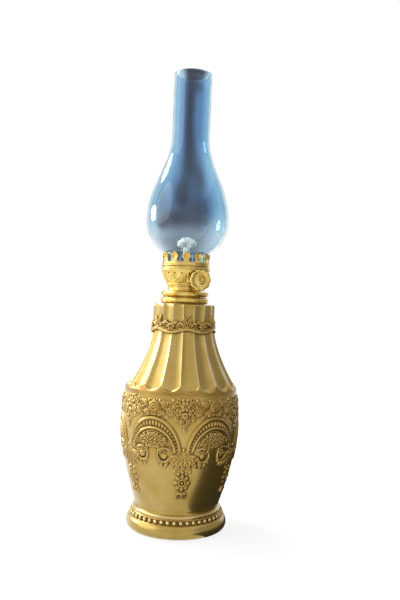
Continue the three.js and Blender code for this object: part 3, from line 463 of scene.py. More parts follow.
def wear_and_shade_of(height):
    """How far each point of a relief stands above its surroundings: its height less a blur of it, about 0.5,
    and a little less wherever ornament is near. Below 0.5 this paints shade into hollows and beside forms as
    well as glaze, and above 0.5 it paints highlight on crests as well as rubbing."""
    reach = 3
    steps = np.arange(-2 * reach, 2 * reach + 1)
    weights = np.exp(-0.5 * (steps / reach) ** 2)
    weights /= weights.sum()
    across = sum(w * np.roll(height, k, 1) for w, k in zip(weights, steps))
    padded = np.pad(across, ((2 * reach, 2 * reach), (0, 0)), mode="edge")
    blur = sum(w * padded[k:k + len(height)] for k, w in enumerate(weights))
    proud = height - blur
    dense = smooth(0, 0.5, blur)
    share = np.where(proud > 0, 0.6, 0.35 + 0.45 * dense)
    # painted shade below 0.5 in hollows and near ornament, painted highlight above 0.5 on crests
    return np.clip(0.5 + share * proud - 0.12 * dense, 0, 1)


# Vase

# points round the vase, the angle between them, and how often the ornament repeats
COLUMNS = 864
STEP = 2 * np.pi / COLUMNS
REPEATS = 6
# angles of a ridge between flutes, of a pendant's axis and of a leaf tuft of the garland
RIDGE = np.radians(-108.5)
PENDANT = RIDGE + 13 * STEP
TUFT = np.radians(-101)
# angles of the points, from the edge of a pendant's cell on
ROUND = PENDANT - np.pi / REPEATS + np.arange(COLUMNS) * STEP
# the belly's ornament: its lowest and its highest row, and how many rows it has
RELIEF_LOW, RELIEF_HIGH, RELIEF_ROWS = 19.0, 101.0, 217
# radii of the oil space's throat and of the collar's socket in the neck, and the socket's depth
THROAT, SOCKET, SOCKET_DEPTH = 13.5, 17.5, 9
# radius and height of the foot's bead row
BEAD_ROW = (33.6, 11.8)


def body_radius(s, height):
    """Radius of the vase on its ridges: a power curve below the belly, a parabola above it, and a power cove
    up to the neck."""
    down = np.clip((s.belly_height - height) / (s.belly_height - s.waist_height), 0, None)
    up = (height - s.belly_height) / (s.shoulder_height - s.belly_height)
    left = np.clip((s.neck_start - height) / (s.neck_start - s.shoulder_height), 0, None)
    belly = s.belly_radius - (s.belly_radius - s.waist_radius) * down ** 1.75
    top = s.belly_radius - (s.belly_radius - s.shoulder_radius) * up ** 2
    cove = s.neck_radius + (s.shoulder_radius - s.neck_radius) * left ** 1.6
    return np.where(height <= s.belly_height, belly, np.where(height <= s.shoulder_height, top, cove))


def ground_radius(s, height):
    """The vase's radius, sunk a little behind its ornament and eased back at the ornament's ends."""
    sunk = 0.3
    return body_radius(s, height) - sunk * smooth(20, 32, height) * (1 - smooth(98, 103, height))


def inner_wall(s, high, low, rows):
    """Profile of the oil space from one height down to another."""
    height = np.linspace(high, low, rows)
    return np.stack([np.maximum(THROAT, body_radius(s, height) - s.wall), height], -1)


def vase_foot(s):
    """The foot: a roll that is a circle below and an ellipse above, a beaded cove, one round ledge and the
    start of the belly, closed by the floor of the oil space.

    The cove is painted darker, as shade, and the ledge painted brighter, as a highlight.
    """
    oil_floor, hollow, upper_roll = 9.5, 3.5, 6
    roll = s.foot_radius - s.foot_roll
    ledge = s.waist_radius + 0.3
    over = np.radians(np.linspace(0, 62, 14))[1:, None]
    outside = np.vstack([
        [[roll - 8.5, hollow], [roll - 5.4, 0.35], [roll - 5.0, 0]],
        arc(roll, s.foot_roll, s.foot_roll, -90, 0, 14),
        np.hstack([roll + s.foot_roll * np.cos(over), s.foot_roll + upper_roll * np.sin(over)]),
        arc(35.0, 11.9, 1.9, 235, 145, 10),
        arc(ledge, 14.9, 1.7, -40, 90, 14),
        [[ledge - 0.45, 16.75], [ledge - 0.55, 17.2]],
        [[body_radius(s, RELIEF_LOW), RELIEF_LOW]],
    ])
    inside = np.vstack([inner_wall(s, RELIEF_LOW, RELIEF_LOW, 1), [[21, oil_floor + 0.1], [20, oil_floor]]])
    foot = turned(np.vstack([outside, inside]), COLUMNS // 2, low=[0, 0, hollow], high=[0, 0, oil_floor])
    # tone by height: painted shade in the beaded cove, painted highlight on the ledge
    heights = [9.6, 10.6, 13, 13.8, 15, 16.5, 17]
    levels = [0.5, 0.2, 0.2, 0.5, 0.62, 0.62, 0.46]
    foot.wear = np.interp(foot.points[:, 2], heights, levels)
    return foot


def foot_beads(s):
    """The bead row: small balls set round the cove, painted lighter outward and darker inward as light and
    shade.
    """
    size = s.bead_radius
    ball = turned(arc(0, 0, size, -80, 80, 8), 14, low=[0, 0, -size], high=[0, 0, size])
    # painted highlight on the outer side, painted shade on the side towards the cove
    ball.wear = 0.45 + 0.45 * ball.points[:, 0] / size
    ball.points = ball.points + [BEAD_ROW[0], 0, BEAD_ROW[1]]
    return spun(ball, np.arange(s.bead_count) * 2 * np.pi / s.bead_count)


def vase_belly(s):
    """The ornamented belly, as a lower and an upper ring: the ground's radius plus the relief."""
    half = s.belly_radius * np.pi / REPEATS
    height = np.linspace(RELIEF_LOW, RELIEF_HIGH, RELIEF_ROWS)
    cell = COLUMNS // REPEATS
    across = (np.arange(cell) / cell * 2 - 1) * half
    relief = belly_relief(*np.meshgrid(across, height), half)
    wear = np.tile(wear_and_shade_of(relief), (1, REPEATS))
    radius = ground_radius(s, height)[:, None] + s.relief * np.tile(relief, (1, REPEATS))
    middle, inner_rows = RELIEF_ROWS // 2, 4
    parts = []
    for low, high in ((0, middle), (middle, RELIEF_ROWS - 1)):
        rows = slice(low, high + 1)
        wall = inner_wall(s, height[high], height[low], inner_rows)
        inside = round_axis(wall[:, :1], ROUND, wall[:, 1:])
        grid = np.vstack([round_axis(radius[rows], ROUND, height[rows][:, None]), inside])
        worn_and_shaded = np.vstack([wear[rows], np.full((inner_rows, COLUMNS), 0.5)])
        parts.append(rings(grid, loop=True, wear=worn_and_shaded))
    return parts


def vase_shoulder(s):
    """The fluted shoulder and neck: each flute is a parabola between two ridges, and its lip hangs in a
    scallop. Behind the garland the flutes are filled up to their ridges."""
    band_rows, scallop, rounding = 8, 3.5, 1.4
    across = ((ROUND - RIDGE) / (2 * np.pi / s.flute_count)) % 1
    ridge = (2 * across - 1) ** 2
    lip = s.shoulder_height + scallop * ridge
    edge = s.neck_top - rounding

    def flutes(height):
        share = (body_radius(s, height) - s.neck_radius) / (s.shoulder_radius - s.neck_radius)
        depth = s.neck_flute_depth + (s.flute_depth - s.neck_flute_depth) * np.clip(share, 0, 1)
        return body_radius(s, height) - depth * (1 - ridge)

    band = RELIEF_HIGH + (lip - RELIEF_HIGH) * np.linspace(0, 1, band_rows)[:, None]
    # the rows lie closer together over the garland
    share = np.concatenate([
        np.linspace(0, 0.55, 24)[:-1], np.linspace(0.55, 0.92, 52)[:-1], np.linspace(0.92, 1, 6)])
    climb = lip + 0.8 + (edge - lip - 0.8) * share[:, None]
    half_cell = np.pi / REPEATS
    turn = (ROUND - TUFT + half_cell) % (2 * half_cell) - half_cell
    around = np.broadcast_to(turn * s.neck_radius, climb.shape)
    relief = neck_relief(around, climb, half_cell * s.neck_radius)
    floor = flutes(climb)
    filled = floor + (body_radius(s, climb) - floor) * smooth(0, 0.3, relief) + s.garland * relief
    crest = body_radius(s, lip + 0.6)
    over = [(lip + 0.3, body_radius(s, lip) - 0.12 - 0.1 * (1 - ridge)),
            (lip + 0.62, crest - 0.55 * (crest - flutes(lip + 0.6)) - 0.1)]
    rim = flutes(edge)
    top = [(edge + 0.7, rim - 0.25), (edge + 1.2, rim - 0.75), (edge + rounding, rim - rounding)]
    rows = [(band, ground_radius(s, band))] + over + [(climb, filled)] + top
    outside = np.vstack([round_axis(np.atleast_2d(r), ROUND, np.atleast_2d(z)) for z, r in rows])
    step = s.neck_top - SOCKET_DEPTH
    wall = np.vstack([
        [[SOCKET, s.neck_top], [SOCKET, step], [THROAT, step]], inner_wall(s, step - 7, RELIEF_HIGH, 14)])
    inside = round_axis(wall[:, :1], ROUND, wall[:, 1:])
    worn_and_shaded = np.full((len(outside) + len(inside), COLUMNS), 0.5)
    # the band under the flutes' lips is painted darker, as shade under their overhang
    worn_and_shaded[:band_rows] = np.interp(np.arange(band_rows), [0, 3, 5, 7], [0.48, 0.36, 0.35, 0.4])[:, None]
    start = band_rows + len(over)
    worn_and_shaded[start:start + len(climb)] = wear_and_shade_of(relief) + 0.3 * ridge ** 6 * (relief < 0.02)
    return rings(np.vstack([outside, inside]), loop=True, wear=np.clip(worn_and_shaded, 0, 1))


# Burner

# heights of the burner's seat, of the bowl's seat, step, rim band and top, and of the crown's seat
BURNER_SEAT = 170.8
BOWL_SEAT = BURNER_SEAT + 7.8
BOWL_STEP = BOWL_SEAT + 2.6
BOWL_BAND = BURNER_SEAT + 20.1
BOWL_TOP = BURNER_SEAT + 22.3
CROWN_SEAT = BOWL_TOP + 0.3
# the shaft's place across and up, and the back of the knob along it
SHAFT = (4.7, BURNER_SEAT + 12.5)
KNOB_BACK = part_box("knob")[1].y / MM


def thread(profile, columns, start, end, depth, pitch=2.4):
    """A turned profile with a rolled thread: between two heights its radius swells with the cosine of the
    climb, eased in and out at the ends."""
    ease = 0.6
    part = turned(profile, columns, loop=True)
    x, y, z = part.points.T
    climb = np.cos(2 * np.pi * z / pitch - np.arctan2(y, x))
    inside = smooth(start, start + ease, z) * (1 - smooth(end - ease, end, z))
    scale = 1 + depth * climb * inside / np.hypot(x, y)
    part.points = np.stack([x * scale, y * scale, z], -1)
    return part


def neck_collar():
    """The collar: a rolled flange on the neck over a plain socket."""
    bore, socket, low, flange, roll = 13.2, 15.2, 156.7, 168.1, 2.4
    return turned(np.vstack([
        [[bore, low + 0.3], [bore + 0.3, low], [socket, low], [socket, flange - roll]],
        arc(socket + 0.4, flange, roll, -90, 90, 18),
        [[bore + 0.5, flange + roll], [bore, flange + roll - 0.4]],
    ]), 144, loop=True)


def screw_cap():
    """The burner's screw cap: a threaded shell, a rolled flange, a sloping shoulder and a throat."""
    base, rows = BURNER_SEAT, 40
    shell, shell_bore, throat, throat_bore = 12.9, 12.0, 12.8, 11.9
    low, high = base - 7.5, base + 7.5
    profile = np.vstack([
        [[shell_bore, low]],
        np.stack([np.full(rows, shell), np.linspace(low, base - 0.4, rows)], -1),
        [[shell, base]],
        arc(15.7, base + 2.1, 2.1, -90, 100, 16),
        arc(14.1, base + 5.5, 1.3, 250, 190, 6),
        [[throat, base + 5.7], [throat, high - 0.2], [throat - 0.2, high], [throat_bore, high],
         [throat_bore, base + 4.1], [15.3, base + 3.3], [15.3, base + 0.9], [shell_bore, base + 0.9]],
    ])
    return thread(profile, 144, low + 0.1, base - 0.4, 0.22)


def bowl_radius(height):
    """Radius of the bowl's wall: a quarter sine from its step to its rim band."""
    narrow, swell = 13.95, 3.85
    share = np.clip((height - BOWL_STEP) / (BOWL_BAND - BOWL_STEP), 0, 1)
    return narrow + swell * np.sin(share * np.pi / 2)


def bowl_stamp(angle, height):
    """Stamped pattern of the bowl: six ovals with rings and sprigs, pairs of ribs with a bud between them,
    and a line of pearls above."""
    mean_radius, first_oval, half_cell, pearl_count = 16.6, np.radians(-142), np.pi / 6, 96
    turn = (angle - first_oval + half_cell) % (2 * half_cell) - half_cell
    across = turn * mean_radius
    far = ((turn + 2 * half_cell) % (2 * half_cell) - half_cell) * mean_radius
    up = height - (BOWL_SEAT + 6.0)
    out = np.hypot(across / 3.6, up / 2.6)
    oval = np.maximum.reduce([
        line(out - 0.9, 0.16, 0.8), line(out - 0.62, 0.1, 0.6), half_round(np.minimum(out / 0.45, 1))])
    ribs = line(np.abs(far) - 1.1, 0.55, 1.0) * half_round(np.clip(up / 3.2, -1, 1)) ** 0.5
    bud = half_round(np.minimum(np.hypot(far / 0.6, (up + 0.4) / 1.6), 1))
    sprig = leaf(np.abs(across) - 3.9, up + 1.6, 62, 4.4, 1.7)
    step = angle / (2 * np.pi) * pearl_count
    pearl = np.hypot((step - np.round(step)) / 0.42, (height - BOWL_BAND + 0.55) / 0.5)
    return np.maximum.reduce([oval, ribs, 0.8 * bud, 0.9 * sprig, 0.7 * half_round(np.minimum(pearl, 1))])


def burner_bowl():
    """The bowl: a cup that nests in the cap, a step, a flared wall with its stamping, and a rolled rim."""
    sheet, columns, rows, stamping = 0.9, 480, 56, 0.5
    floor, bore, cup, rim = BOWL_SEAT - 3, 7.4, 11.6, 17.8
    wall = np.linspace(BOWL_STEP, BOWL_BAND, rows)
    below = np.vstack([
        [[bore, floor], [cup - 0.3, floor], [cup, floor + 0.3], [cup, BOWL_SEAT], [12.8, BOWL_SEAT]],
        arc(13.0, BOWL_SEAT + 0.5, 0.5, -60, 30, 3),
        arc(13.7, BOWL_SEAT + 1.75, 0.75, -85, 88, 9),
    ])
    above = np.vstack([
        arc(rim, BOWL_BAND + 0.75, 0.72, -62, 80, 10),
        [[rim - 0.05, BOWL_BAND + 1.65], [rim, BOWL_TOP - 0.15]],
        [[rim - 0.15, BOWL_TOP], [rim - 0.8, BOWL_TOP]],
    ])
    back = wall[::-3]
    inside = np.vstack([
        np.stack([bowl_radius(back) - sheet, back], -1),
        [[cup - sheet, BOWL_SEAT], [cup - sheet, floor + sheet], [bore, floor + sheet]],
    ])
    profile = np.vstack([below, np.stack([bowl_radius(wall), wall], -1), above, inside])
    angle = np.arange(columns) * 2 * np.pi / columns
    # the stamping eases in over the wall's first and last four rows
    row = np.arange(rows)
    stamped = np.zeros((len(profile), 1))
    stamped[len(below):len(below) + rows, 0] = smooth(0, 1, np.minimum(row, row[::-1]) / 4)
    radius = profile[:, :1] + stamping * stamped * bowl_stamp(angle, profile[:, 1:])
    return rings(round_axis(radius, angle, profile[:, 1:]), loop=True)


def bowl_drills():
    """Round bars where the bowl is pierced: one for each air hole, and one for the shaft's sleeve."""
    height, number, hole, reach, sleeve_hole = BOWL_TOP - 5.2, 20, 0.6, 3, 2.4
    bar = turned([[hole, -reach], [hole, reach]], 20, low=[0, 0, -reach], high=[0, 0, reach])
    x, y, z = bar.points.T
    bar.points = np.stack([bowl_radius(height) + z, x, height + y], -1)
    holes = spun(bar, (np.arange(number) + 0.5) * 2 * np.pi / number)
    sleeve = turned([[sleeve_hole, 6], [sleeve_hole, 20]], 40, low=[0, 0, 6], high=[0, 0, 20])
    return joined(holes, along_shaft(sleeve, SHAFT[0], 0, SHAFT[1]))


def crown_band(s):
    """The band under the prongs: a strip of sheet with a rolled lower edge."""
    low, high, outside, inside = CROWN_SEAT, CROWN_SEAT + 2.7, 17.8, 17.8 - s.prong_sheet
    return turned(np.vstack([
        [[17.0, low + 0.1], [17.2, low]],
        arc(17.55, low + 0.35, 0.35, -90, 80, 6),
        [[outside - 0.2, low + 0.8], [outside, low + 1.6], [outside - 0.05, high - 0.2]],
        [[outside - 0.2, high], [inside, high], [inside - 0.05, high - 0.3], [inside - 0.1, low + 0.8]],
    ]), 192, loop=True)


def prongs(s):
    """The prongs: a strip that narrows from the band to a waist and ends in a round, dished head.

    Half its width is the root of the head's circle near the tip. The radius sways in, out and in again along
    it, and the dish is a paraboloid sunk into the head. The section is a thin closed loop of a front face and
    a back face.
    """
    foot, waist, rise, head, centre, dish_radius, columns = -0.6, 3, 7.4, 2.85, 4.55, 2.3, 17
    mean_radius, seat, first = 17.3, CROWN_SEAT + 2.6, np.radians(-107)
    along = np.concatenate([
        np.linspace(foot, waist, 14)[:-1],
        waist + (rise - waist) * np.sin(np.linspace(0, np.pi / 2, 22)),
    ])
    along[-1] = rise - 0.004
    stem = 1.85 + 2.2 * np.clip(1 - along / 1.7, 0, None) ** 2
    half = np.where(along < waist, stem, np.sqrt(np.clip(head ** 2 - (along - centre) ** 2, 1e-3, None)))
    heights = [foot, 0, 1.5, waist, 4.4, 6, rise]
    lean = np.interp(along, heights, [17.8, 17.8, 17.0, 17.3, 17.75, 17.75, 17.45])
    front = np.linspace(-1, 1, columns)
    across = np.concatenate([front, front[::-1]]) * half[:, None]
    face = np.concatenate([np.ones(columns), np.zeros(columns)])
    up = np.broadcast_to(along[:, None], across.shape)
    out = np.hypot(across, up - centre)
    dish = 0.75 * np.clip(1 - out ** 2 / dish_radius ** 2, 0, None)
    rim = 0.22 * np.exp(-((out - dish_radius - 0.05) / 0.3) ** 2) * (up > waist)
    edge = 0.12 * (np.abs(across) / half[:, None]) ** 8
    radius = lean[:, None] - (1 - face) * s.prong_sheet - dish * np.where(face > 0, 1, 0.6) + face * rim
    radius = radius + np.where(face > 0, -edge, edge)
    grid = round_axis(radius, across / mean_radius, seat + up)
    strip = rings(grid, low=grid[0].mean(0), high=grid[-1].mean(0))
    return spun(strip, first + np.arange(s.prong_count) * 2 * np.pi / s.prong_count)


def knob(s):
    """The wick knob: a turned disc whose radius dips between its lobes, with a thick rim, a dished face that
    waves with the lobes, and a low hub."""
    rim, notch_depth, wave_height = s.knob_radius, 0.55, 0.22
    # radius, distance along the shaft, and how much of the notches shows there
    profile = np.vstack([
        [[1.25, 0, 0], [2.6, 0, 0], [2.8, 0.2, 0], [2.8, 1.7, 0], [3.3, 1.95, 0.1], [5.2, 1.95, 0.4]],
        np.column_stack([arc(rim - 1.05, 3.0, 1.05, -100, 100, 16), np.ones(17)]),
        [[rim - 1.8, 3.8, 0.9], [rim - 2.5, 3.45, 0.75], [4.7, 3.25, 0.5], [3.9, 3.25, 0.25],
         [3.3, 3.45, 0.1], [2.9, 3.75, 0]],
        np.column_stack([arc(1.95, 4.2, 0.85, 0, 115, 9), np.zeros(10)]),
        [[1.4, 4.85, 0], [1.25, 4.7, 0]],
    ])
    columns = 18 * s.knob_lobes
    angle = np.arange(columns) * 2 * np.pi / columns
    notch = 0.5 - 0.5 * np.cos(s.knob_lobes * angle)
    radius = profile[:, :1] - notch_depth * profile[:, 2:] * notch ** 2
    face = np.exp(-((profile[:, :1] - 6.2) / 1.6) ** 2) * (profile[:, 1:2] > 2.9)
    wave = wave_height * face * (0.5 - notch)
    part = rings(round_axis(radius, angle, profile[:, 1:2] + wave), loop=True)
    return along_shaft(part, SHAFT[0], KNOB_BACK, SHAFT[1])


def wick_shaft():
    """The shaft: a round rod with a countersunk front end."""
    front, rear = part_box("wick_shaft")[0].y / MM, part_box("wick_shaft")[1].y / MM
    reach, radius = rear - front, 1.0
    profile = [[radius - 0.2, 0], [radius, 0.2], [radius, reach - 0.25], [radius - 0.15, reach], [0.6, reach],
               [0.3, reach - 0.35]]
    rod = turned(profile, 32, low=[0, 0, 0], high=[0, 0, reach - 0.45])
    return along_shaft(rod, SHAFT[0], rear, SHAFT[1])


def shaft_sleeve():
    """The sleeve: a short tube with a rolled front edge."""
    low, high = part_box("shaft_sleeve")[0].y / MM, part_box("shaft_sleeve")[1].y / MM
    reach, bore, radius = high - low, 1.3, 2.0
    tube = turned(np.vstack([
        [[bore, 0], [radius - 0.1, 0], [radius, 0.1], [radius, reach - 0.7]],
        arc(radius - 0.25, reach - 0.35, 0.35, -40, 90, 6),
        [[bore, reach]],
    ]), 48, loop=True)
    return along_shaft(tube, SHAFT[0], high, SHAFT[1])


# Wick

# half sizes of the tuft's core, and how far its strands reach across and up from its middle
TUFT_CORE = np.array([3.9, 3.9, 2.3])
TUFT_REACH, TUFT_RISE = 7.6, 4.65


def wick_tape():
    """The wick's woven tape: a rounded strip, ribbed across by its weave, from the oil to the tuft."""
    low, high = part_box("wick")[0].z / MM, 210.5
    half_thickness, half_width, rib_height, rib_pitch = 1.12, 5.9, 0.05, 1.9
    height = np.linspace(low, high, 190)
    angle = np.linspace(0, 2 * np.pi, 56, endpoint=False)
    rib = rib_height * np.cos(height * 2 * np.pi / rib_pitch)[:, None]
    x = (half_thickness + rib) * np.sign(np.cos(angle)) * np.abs(np.cos(angle)) ** 0.35
    y = half_width * np.sign(np.sin(angle)) * np.abs(np.sin(angle)) ** 0.35
    grid = np.stack(np.broadcast_arrays(x, y, height[:, None]), -1)
    return rings(grid, low=[0, 0, low], high=[0, 0, high])


def tuft_puffs():
    """Middles and radii of the tuft's puffs: a ring, a smaller ring above it and a cap, all a bit uneven."""
    ring, upper, cap = np.arange(9), np.arange(6), np.arange(3)
    puffs = np.vstack([
        round_axis(5.2, ring * 2 * np.pi / 9, -0.1 + 1.5 * np.sin(2.4 * ring)),
        round_axis(3.3, 0.4 + upper * np.pi / 3, 1.6 + 0.6 * np.cos(2.2 * upper)),
        round_axis(1.1, cap * 2 * np.pi / 3, 2.2 + 0.4 * np.cos(2.9 * cap)),
    ])
    sizes = np.concatenate([
        1.7 + 0.3 * np.cos(3.7 * ring), 1.4 + 0.25 * np.cos(2.6 * upper), np.full(len(cap), 1.3)])
    return puffs, sizes


def cloud(way, puffs, sizes):
    """How far a cloud of puffs reaches each way from its middle: the farthest of a flat ellipsoid and of the
    far root of each sphere that the way meets.

    Gives the farthest reach and the next, which are alike in the creases between puffs.
    """
    core = 1 / np.sqrt((way ** 2 / TUFT_CORE ** 2).sum(-1, keepdims=True))
    along = way @ puffs.T
    under_root = along ** 2 + sizes ** 2 - (puffs ** 2).sum(1)
    root = np.where((under_root > 0) & (along > 0), along + np.sqrt(np.clip(under_root, 0, None)), 0)
    reach = np.sort(np.concatenate([core, root], -1), -1)
    return reach[..., -1], reach[..., -2]


def loose_strands(centre, puffs, sizes):
    """The tuft's loose strands: three-sided tubes round paths that leave the cloud outward and bend over by
    the square of their run."""
    strands, steps, thickness, sunk, bending = 420, 8, 0.21, 0.4, 0.7
    stir = np.random.default_rng(7)
    way = stir.normal(size=(strands, 3)) * [1, 1, 0.8] + [0, 0, 0.25]
    way /= np.linalg.norm(way, axis=1, keepdims=True)
    bend = stir.normal(size=(strands, 3))
    run = np.linspace(0, 1, steps)[None, :, None]
    reach = cloud(way, puffs, sizes)[0][:, None, None] - sunk + stir.uniform(0.7, 2, (strands, 1, 1)) * run
    offset = way[:, None] * reach + bending * bend[:, None] * run ** 2
    out = np.hypot(np.hypot(offset[..., 0], offset[..., 1]) / TUFT_REACH, offset[..., 2] / TUFT_RISE)
    path = centre + offset / np.maximum(1, out)[..., None]
    ahead = np.gradient(path, axis=1)
    ahead /= np.linalg.norm(ahead, axis=2, keepdims=True)
    # any direction that no strand follows gives the sides of its tube
    side = np.cross(ahead, [0.31, 0.52, 0.8])
    side /= np.linalg.norm(side, axis=2, keepdims=True)
    other = np.cross(ahead, side)
    angle = (np.arange(3) * 2 * np.pi / 3)[:, None]
    thick = thickness * (1 - 0.6 * run[..., None])
    tube = path[:, :, None] + thick * (side[:, :, None] * np.cos(angle) + other[:, :, None] * np.sin(angle))
    one = rings(tube[0], low=path[0, 0], high=path[0, -1])
    points = np.concatenate([tube.reshape(strands, -1, 3), path[:, :1], path[:, -1:]], 1)
    start = np.arange(strands)[:, None, None] * points.shape[1]
    return SimpleNamespace(
        points=points.reshape(-1, 3),
        faces=[(f + start).reshape(-1, f.shape[1]) for f in one.faces],
        wear=np.full(points.shape[0] * points.shape[1], 0.9))


def wick_tuft():
    """The frayed tuft: a cloud of puffs, roughened by two cosines, and many short loose strands."""
    centre = np.array([0, 0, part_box("wick")[1].z / MM - 4.7])
    puffs, sizes = tuft_puffs()
    rise, turn = np.meshgrid(
        np.linspace(0.04, np.pi - 0.04, 56), np.arange(96) * 2 * np.pi / 96, indexing="ij")
    way = round_axis(np.sin(rise), turn, -np.cos(rise))
    far, near = cloud(way, puffs, sizes)
    fluff = 1 + 0.05 * np.cos(17 * rise + 5 * turn) + 0.05 * np.cos(21 * turn - 13 * rise)
    # the creases between puffs, where the two reaches are alike, are painted darker, as shade
    ball = rings(
        centre + way * (far * fluff)[..., None],
        low=centre + way[0].mean(0) * far[0].mean(),
        high=centre + way[-1].mean(0) * far[-1].mean(),
        wear=0.2 + 0.8 * smooth(0, 0.5, far - near))
    return joined(ball, loose_strands(centre, puffs, sizes))


# Chimney

def chimney(s):
    """The chimney: a straight foot, an elliptical bulb, a cosine sweep and a straight flue.

    It is an outer and an inner wall, joined by fire-polished edges that are half circles.
    """
    low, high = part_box("chimney")[0].z / MM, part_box("chimney")[1].z / MM
    foot, foot_radius, bulb, bulb_drop, sweep = 13.0, 15.8, 36.0, 28, 63.0
    crease, crease_reach = 0.35, 1.6
    edge = s.glass / 2
    height = np.concatenate([
        np.linspace(edge, foot, 8),
        np.linspace(foot, bulb, 42)[1:],
        np.linspace(bulb, bulb + sweep, 56)[1:],
        np.linspace(bulb + sweep, high - low - edge, 12)[1:],
    ])
    drop = np.clip((bulb - height) / bulb_drop, 0, 1)
    globe = np.maximum(foot_radius, s.bulb_radius * half_round(drop))
    share = np.clip((height - bulb) / sweep, 0, 1) ** 1.1
    flue = s.flue_radius + (s.bulb_radius - s.flue_radius) * (1 + np.cos(np.pi * share)) / 2
    radius = np.where(height <= bulb, np.where(height <= foot, foot_radius, globe), flue)
    dip = crease * np.exp(-((height - foot) / crease_reach) ** 2)
    radius = np.where(height > foot, radius - dip, radius)
    outer = np.stack([radius, low + height], -1)
    rim = arc(outer[-1, 0] - edge, outer[-1, 1], edge, 0, 180, 10)[1:-1]
    inner = outer[::-1] - [s.glass, 0]
    lip = arc(outer[0, 0] - edge, outer[0, 1], edge, 180, 360, 8)[1:-1]
    return turned(np.vstack([outer, rim, inner, lip]), 168, loop=True)


# Finishes

def add(tree, kind, inputs=None, stops=None, **settings):
    """Adds a node: settings are its own properties, inputs are values or links for its sockets, and stops are
    a ramp's places and colours."""
    node = tree.nodes.new(kind)
    for name, value in settings.items():
        setattr(node, name, value)
    for key, value in (inputs or {}).items():
        if isinstance(value, bpy.types.NodeSocket):
            tree.links.new(value, node.inputs[key])
        else:
            node.inputs[key].default_value = value
    for i, (place, shade) in enumerate(stops or []):
        stop = node.color_ramp.elements[i] if i < 2 else node.color_ramp.elements.new(place)
        stop.position = place
        stop.color = (*shade, 1)
    return node


def finish(name):
    """A material with its node tree and its Principled shader, which are None if it's already made."""
    made = bpy.data.materials.get(name)
    if made:
        return made, None, None
    made = bpy.data.materials.new(name)
    made.use_nodes = True
    return made, made.node_tree, made.node_tree.nodes["Principled BSDF"]


def link(tree, sockets, shader):
    """Links outputs to a shader's named inputs."""
    for name, output in sockets.items():
        tree.links.new(output, shader.inputs[name])


def gold_bronze_paint(c):
    """Bronze-powder paint on cast plaster: satin metal, brighter on crests as rubbing and painted highlight,
    darker in hollows as brown glaze and painted shade, with lacquer over all but these."""
    made, tree, shader = finish("Gold bronze paint")
    if tree is None:
        return made
    place = add(tree, "ShaderNodeTexCoord").outputs["Object"]
    wear = add(tree, "ShaderNodeAttribute", attribute_name="wear").outputs["Fac"]
    # brush clouds about 14 mm wide, and powder grit of 0.5 mm, coarser than real powder so that it shows
    clouds = add(tree, "ShaderNodeTexNoise", {"Vector": place, "Scale": 70, "Detail": 4}).outputs["Fac"]
    grit = add(tree, "ShaderNodeTexNoise", {"Vector": place, "Scale": 1900, "Detail": 2}).outputs["Fac"]
    shift = add(tree, "ShaderNodeMath", {0: clouds, 1: 0.28, 2: -0.14}, operation="MULTIPLY_ADD").outputs[0]
    level = add(tree, "ShaderNodeMath", {0: wear, 1: shift}, operation="ADD").outputs[0]
    # tones along the level: painted shade and glaze low, plain gold in the middle, painted highlight and
    # rubbing high
    tint = add(tree, "ShaderNodeValToRGB", {"Fac": level}, [
        (0.1, c.gold_shade), (0.95, c.gold_rubbed_and_highlit), (0.3, c.gold_glaze), (0.46, c.gold)]).outputs["Color"]
    rough = add(tree, "ShaderNodeMapRange", {
        "Value": level, "From Min": 0.1, "From Max": 0.6, "To Min": 0.5, "To Max": 0.24}).outputs[0]
    metal = add(tree, "ShaderNodeMapRange", {
        "Value": level, "From Min": 0.1, "From Max": 0.5, "To Min": 0.4, "To Max": 0.8}).outputs[0]
    bump = add(tree, "ShaderNodeBump", {"Height": grit, "Strength": 0.12, "Distance": 0.00006}).outputs[0]
    lacquer = add(tree, "ShaderNodeMapRange", {
        "Value": level, "From Min": 0.2, "From Max": 0.6, "To Min": 0, "To Max": 0.9}).outputs[0]
    link(tree, {"Base Color": tint, "Roughness": rough, "Metallic": metal, "Normal": bump}, shader)
    link(tree, {"Coat Weight": lacquer}, shader)
    shader.inputs["Coat Roughness"].default_value = 0.2
    return made


def polished_brass(c):
    """Spun and stamped brass: bright yellow, mirror-like with a slight ripple, warmer where it tarnished."""
    made, tree, shader = finish("Polished brass")
    if tree is None:
        return made
    place = add(tree, "ShaderNodeTexCoord").outputs["Object"]
    # tarnish in patches of about 6 mm, and tool ripple of about 1.5 mm
    patches = add(tree, "ShaderNodeTexNoise", {"Vector": place, "Scale": 160, "Detail": 5}).outputs["Fac"]
    ripple = add(tree, "ShaderNodeTexNoise", {"Vector": place, "Scale": 650, "Detail": 2}).outputs["Fac"]
    tint = add(tree, "ShaderNodeValToRGB", {"Fac": patches}, [
        (0.3, c.brass_shade), (0.55, c.brass)]).outputs["Color"]
    rough = add(tree, "ShaderNodeMapRange", {
        "Value": patches, "From Min": 0.3, "From Max": 0.7, "To Min": 0.32, "To Max": 0.17}).outputs[0]
    bump = add(tree, "ShaderNodeBump", {"Height": ripple, "Strength": 0.12, "Distance": 0.00012}).outputs[0]
    link(tree, {"Base Color": tint, "Roughness": rough, "Normal": bump}, shader)
    shader.inputs["Metallic"].default_value = 1
    return made


